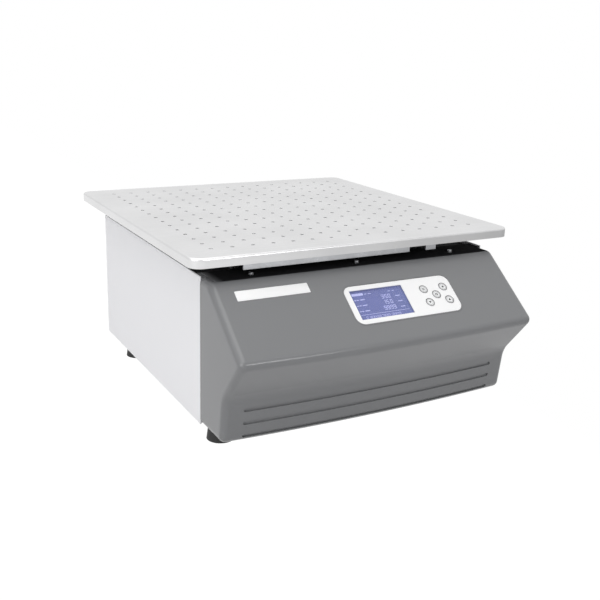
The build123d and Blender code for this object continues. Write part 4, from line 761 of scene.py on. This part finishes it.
def floor():
    """A pale floor that throws light back, and shows as plain white."""
    mesh = bpy.data.meshes.new("floor")
    sides = ((-1, -1), (1, -1), (1, 1), (-1, 1))
    vertices = [(x * FLOOR_HALF, y * FLOOR_HALF, 0) for x, y in sides]
    mesh.from_pydata(vertices, [], [(0, 1, 2, 3)])
    piece = bpy.data.objects.new("floor", mesh)
    bpy.context.scene.collection.objects.link(piece)
    material = bpy.data.materials.new("floor")
    material.use_nodes = True
    nodes = material.node_tree.nodes
    links = material.node_tree.links
    shader = nodes["Principled BSDF"]
    shader.inputs["Base Color"].default_value = (*FLOOR_COLOR, 1.0)
    shader.inputs["Roughness"].default_value = 0.9
    shader.inputs["Specular IOR Level"].default_value = 0.0
    white = nodes.new("ShaderNodeEmission")
    white.inputs["Color"].default_value = (1, 1, 1, 1)
    mix = nodes.new("ShaderNodeMixShader")
    seen = kind_of_ray(nodes, "Is Camera Ray")
    mirrored = kind_of_ray(nodes, "Is Glossy Ray")
    either = nodes.new("ShaderNodeMath")
    either.operation = "MAXIMUM"
    links.new(seen, either.inputs[0])
    links.new(mirrored, either.inputs[1])
    links.new(either.outputs[0], mix.inputs["Fac"])
    links.new(floor_glow(nodes, links, seen), white.inputs["Strength"])
    links.new(shader.outputs[0], mix.inputs[1])
    links.new(white.outputs[0], mix.inputs[2])
    links.new(mix.outputs[0], nodes["Material Output"].inputs["Surface"])
    mesh.materials.append(material)


def stage():
    world_light(WORLD_STRENGTH)
    for name, place, aim, size, power in LAMPS:
        area_light(name, place, aim, size, power)
    floor()
    camera()


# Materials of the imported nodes


def node_materials():
    """One material for each of the record's slots, and one for the sloping control board."""
    angle = math.radians(SLOPE_ANGLE)
    normal = (0.0, -math.sin(angle), math.cos(angle))
    control_level = Vector(normal).dot(panel_point(0, 0, CONTROL_BOARD_DEPTH))
    return {
        "stainless_sheet": brushed_metal("stainless_sheet", (0.76, 0.76, 0.765), 0.34),
        "zinc_steel": plain_metal("zinc_steel", (0.60, 0.61, 0.63), 0.32),
        "turned_steel": brushed_metal("turned_steel", (0.50, 0.51, 0.53), 0.26, (400.0, 400.0, 1500.0)),
        "bearing_steel": brushed_metal("bearing_steel", (0.66, 0.66, 0.68), 0.15, (200.0, 200.0, 900.0)),
        "cast_iron": plain_metal("cast_iron", (0.12, 0.12, 0.13), 0.5, 320.0, 0.12, 0.0001),
        "white_paint": coating("white_paint", (0.95, 0.95, 0.97), 0.42, 900.0, 0.00003, 0.008, 3.0),
        "black_paint": coating("black_paint", (0.012, 0.012, 0.013), 0.7, 900.0, 0.00003, gloss=0.2),
        "primer_grey": coating("primer_grey", (0.13, 0.13, 0.14), 0.5, 700.0, 0.00004),
        # The moulding's material carries painted shade: black on the flat lip under the tray.
        "grey_moulding": moulding_with_lip_shade("grey_moulding", MOULDING_GREY, LIP_PAINTED_SHADE, 0.23),
        "white_panel": coating("white_panel", (0.97, 0.97, 0.972), 0.3, 800.0, 0.00001, 0.008, 12.0, 0.3),
        "key_white": coating("key_white", (0.93, 0.935, 0.94), 0.28, 900.0, 0.00001, 0.01, 12.0, 0.3),
        "clear_window": clear_sheet("clear_window", (0.86, 0.89, 0.96)),
        "screen_module": coating("screen_module", (0.03, 0.03, 0.035), 0.35, 700.0, 0.00002),
        "circuit_board": circuit_board("circuit_board", (0, 0, 1), DRIVE_BOARD_LEVEL),
        "control_board": circuit_board("control_board", normal, control_level),
        "black_rubber": coating("black_rubber", (0.014, 0.014, 0.014), 0.62, 600.0, 0.0001, 0.15),
        "belt_rubber": coating("belt_rubber", (0.018, 0.018, 0.018), 0.7, 1600.0, 0.0001, 0.2, 200.0),
        "black_plastic": coating("black_plastic", (0.02, 0.02, 0.022), 0.32, 900.0, 0.00003, 0.06),
        "brass": plain_metal("brass", (0.62, 0.48, 0.2), 0.25),
        "fuse_glass": capped_glass("fuse_glass", FUSE_X, FUSE_GLASS_HALF),
        "motor_paint": coating("motor_paint", (0.03, 0.03, 0.034), 0.36, 600.0, 0.00005),
    }


def dress_nodes(frame, materials):
    slots = {row["node"]: row["material_slot"] for row in frame["record"]["subparts"]}
    slots["control_board"] = "control_board"
    for name, node in frame["nodes"].items():
        node.data.materials.clear()
        node.data.materials.append(materials[slots[name]])


def main():
    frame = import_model()
    bpy.context.scene.view_settings.view_transform = "Standard"
    materials = node_materials()
    dress_nodes(frame, materials)
    ink = coating("ink", (0.035, 0.035, 0.04), 0.5, 900.0, 0.00001)
    blue = glowing("screen_blue", (0.08, 0.095, 0.33), (0.08, 0.125, 0.30), 0.26)
    pale = glowing("screen_pale", (0.42, 0.44, 0.74), (0.42, 0.44, 0.74), 0.32)
    name_plate(materials["white_panel"])
    panel_border(materials["grey_moulding"])
    screen_face(blue)
    screen_marks(pale)
    key_signs(ink)
    stage()


main()
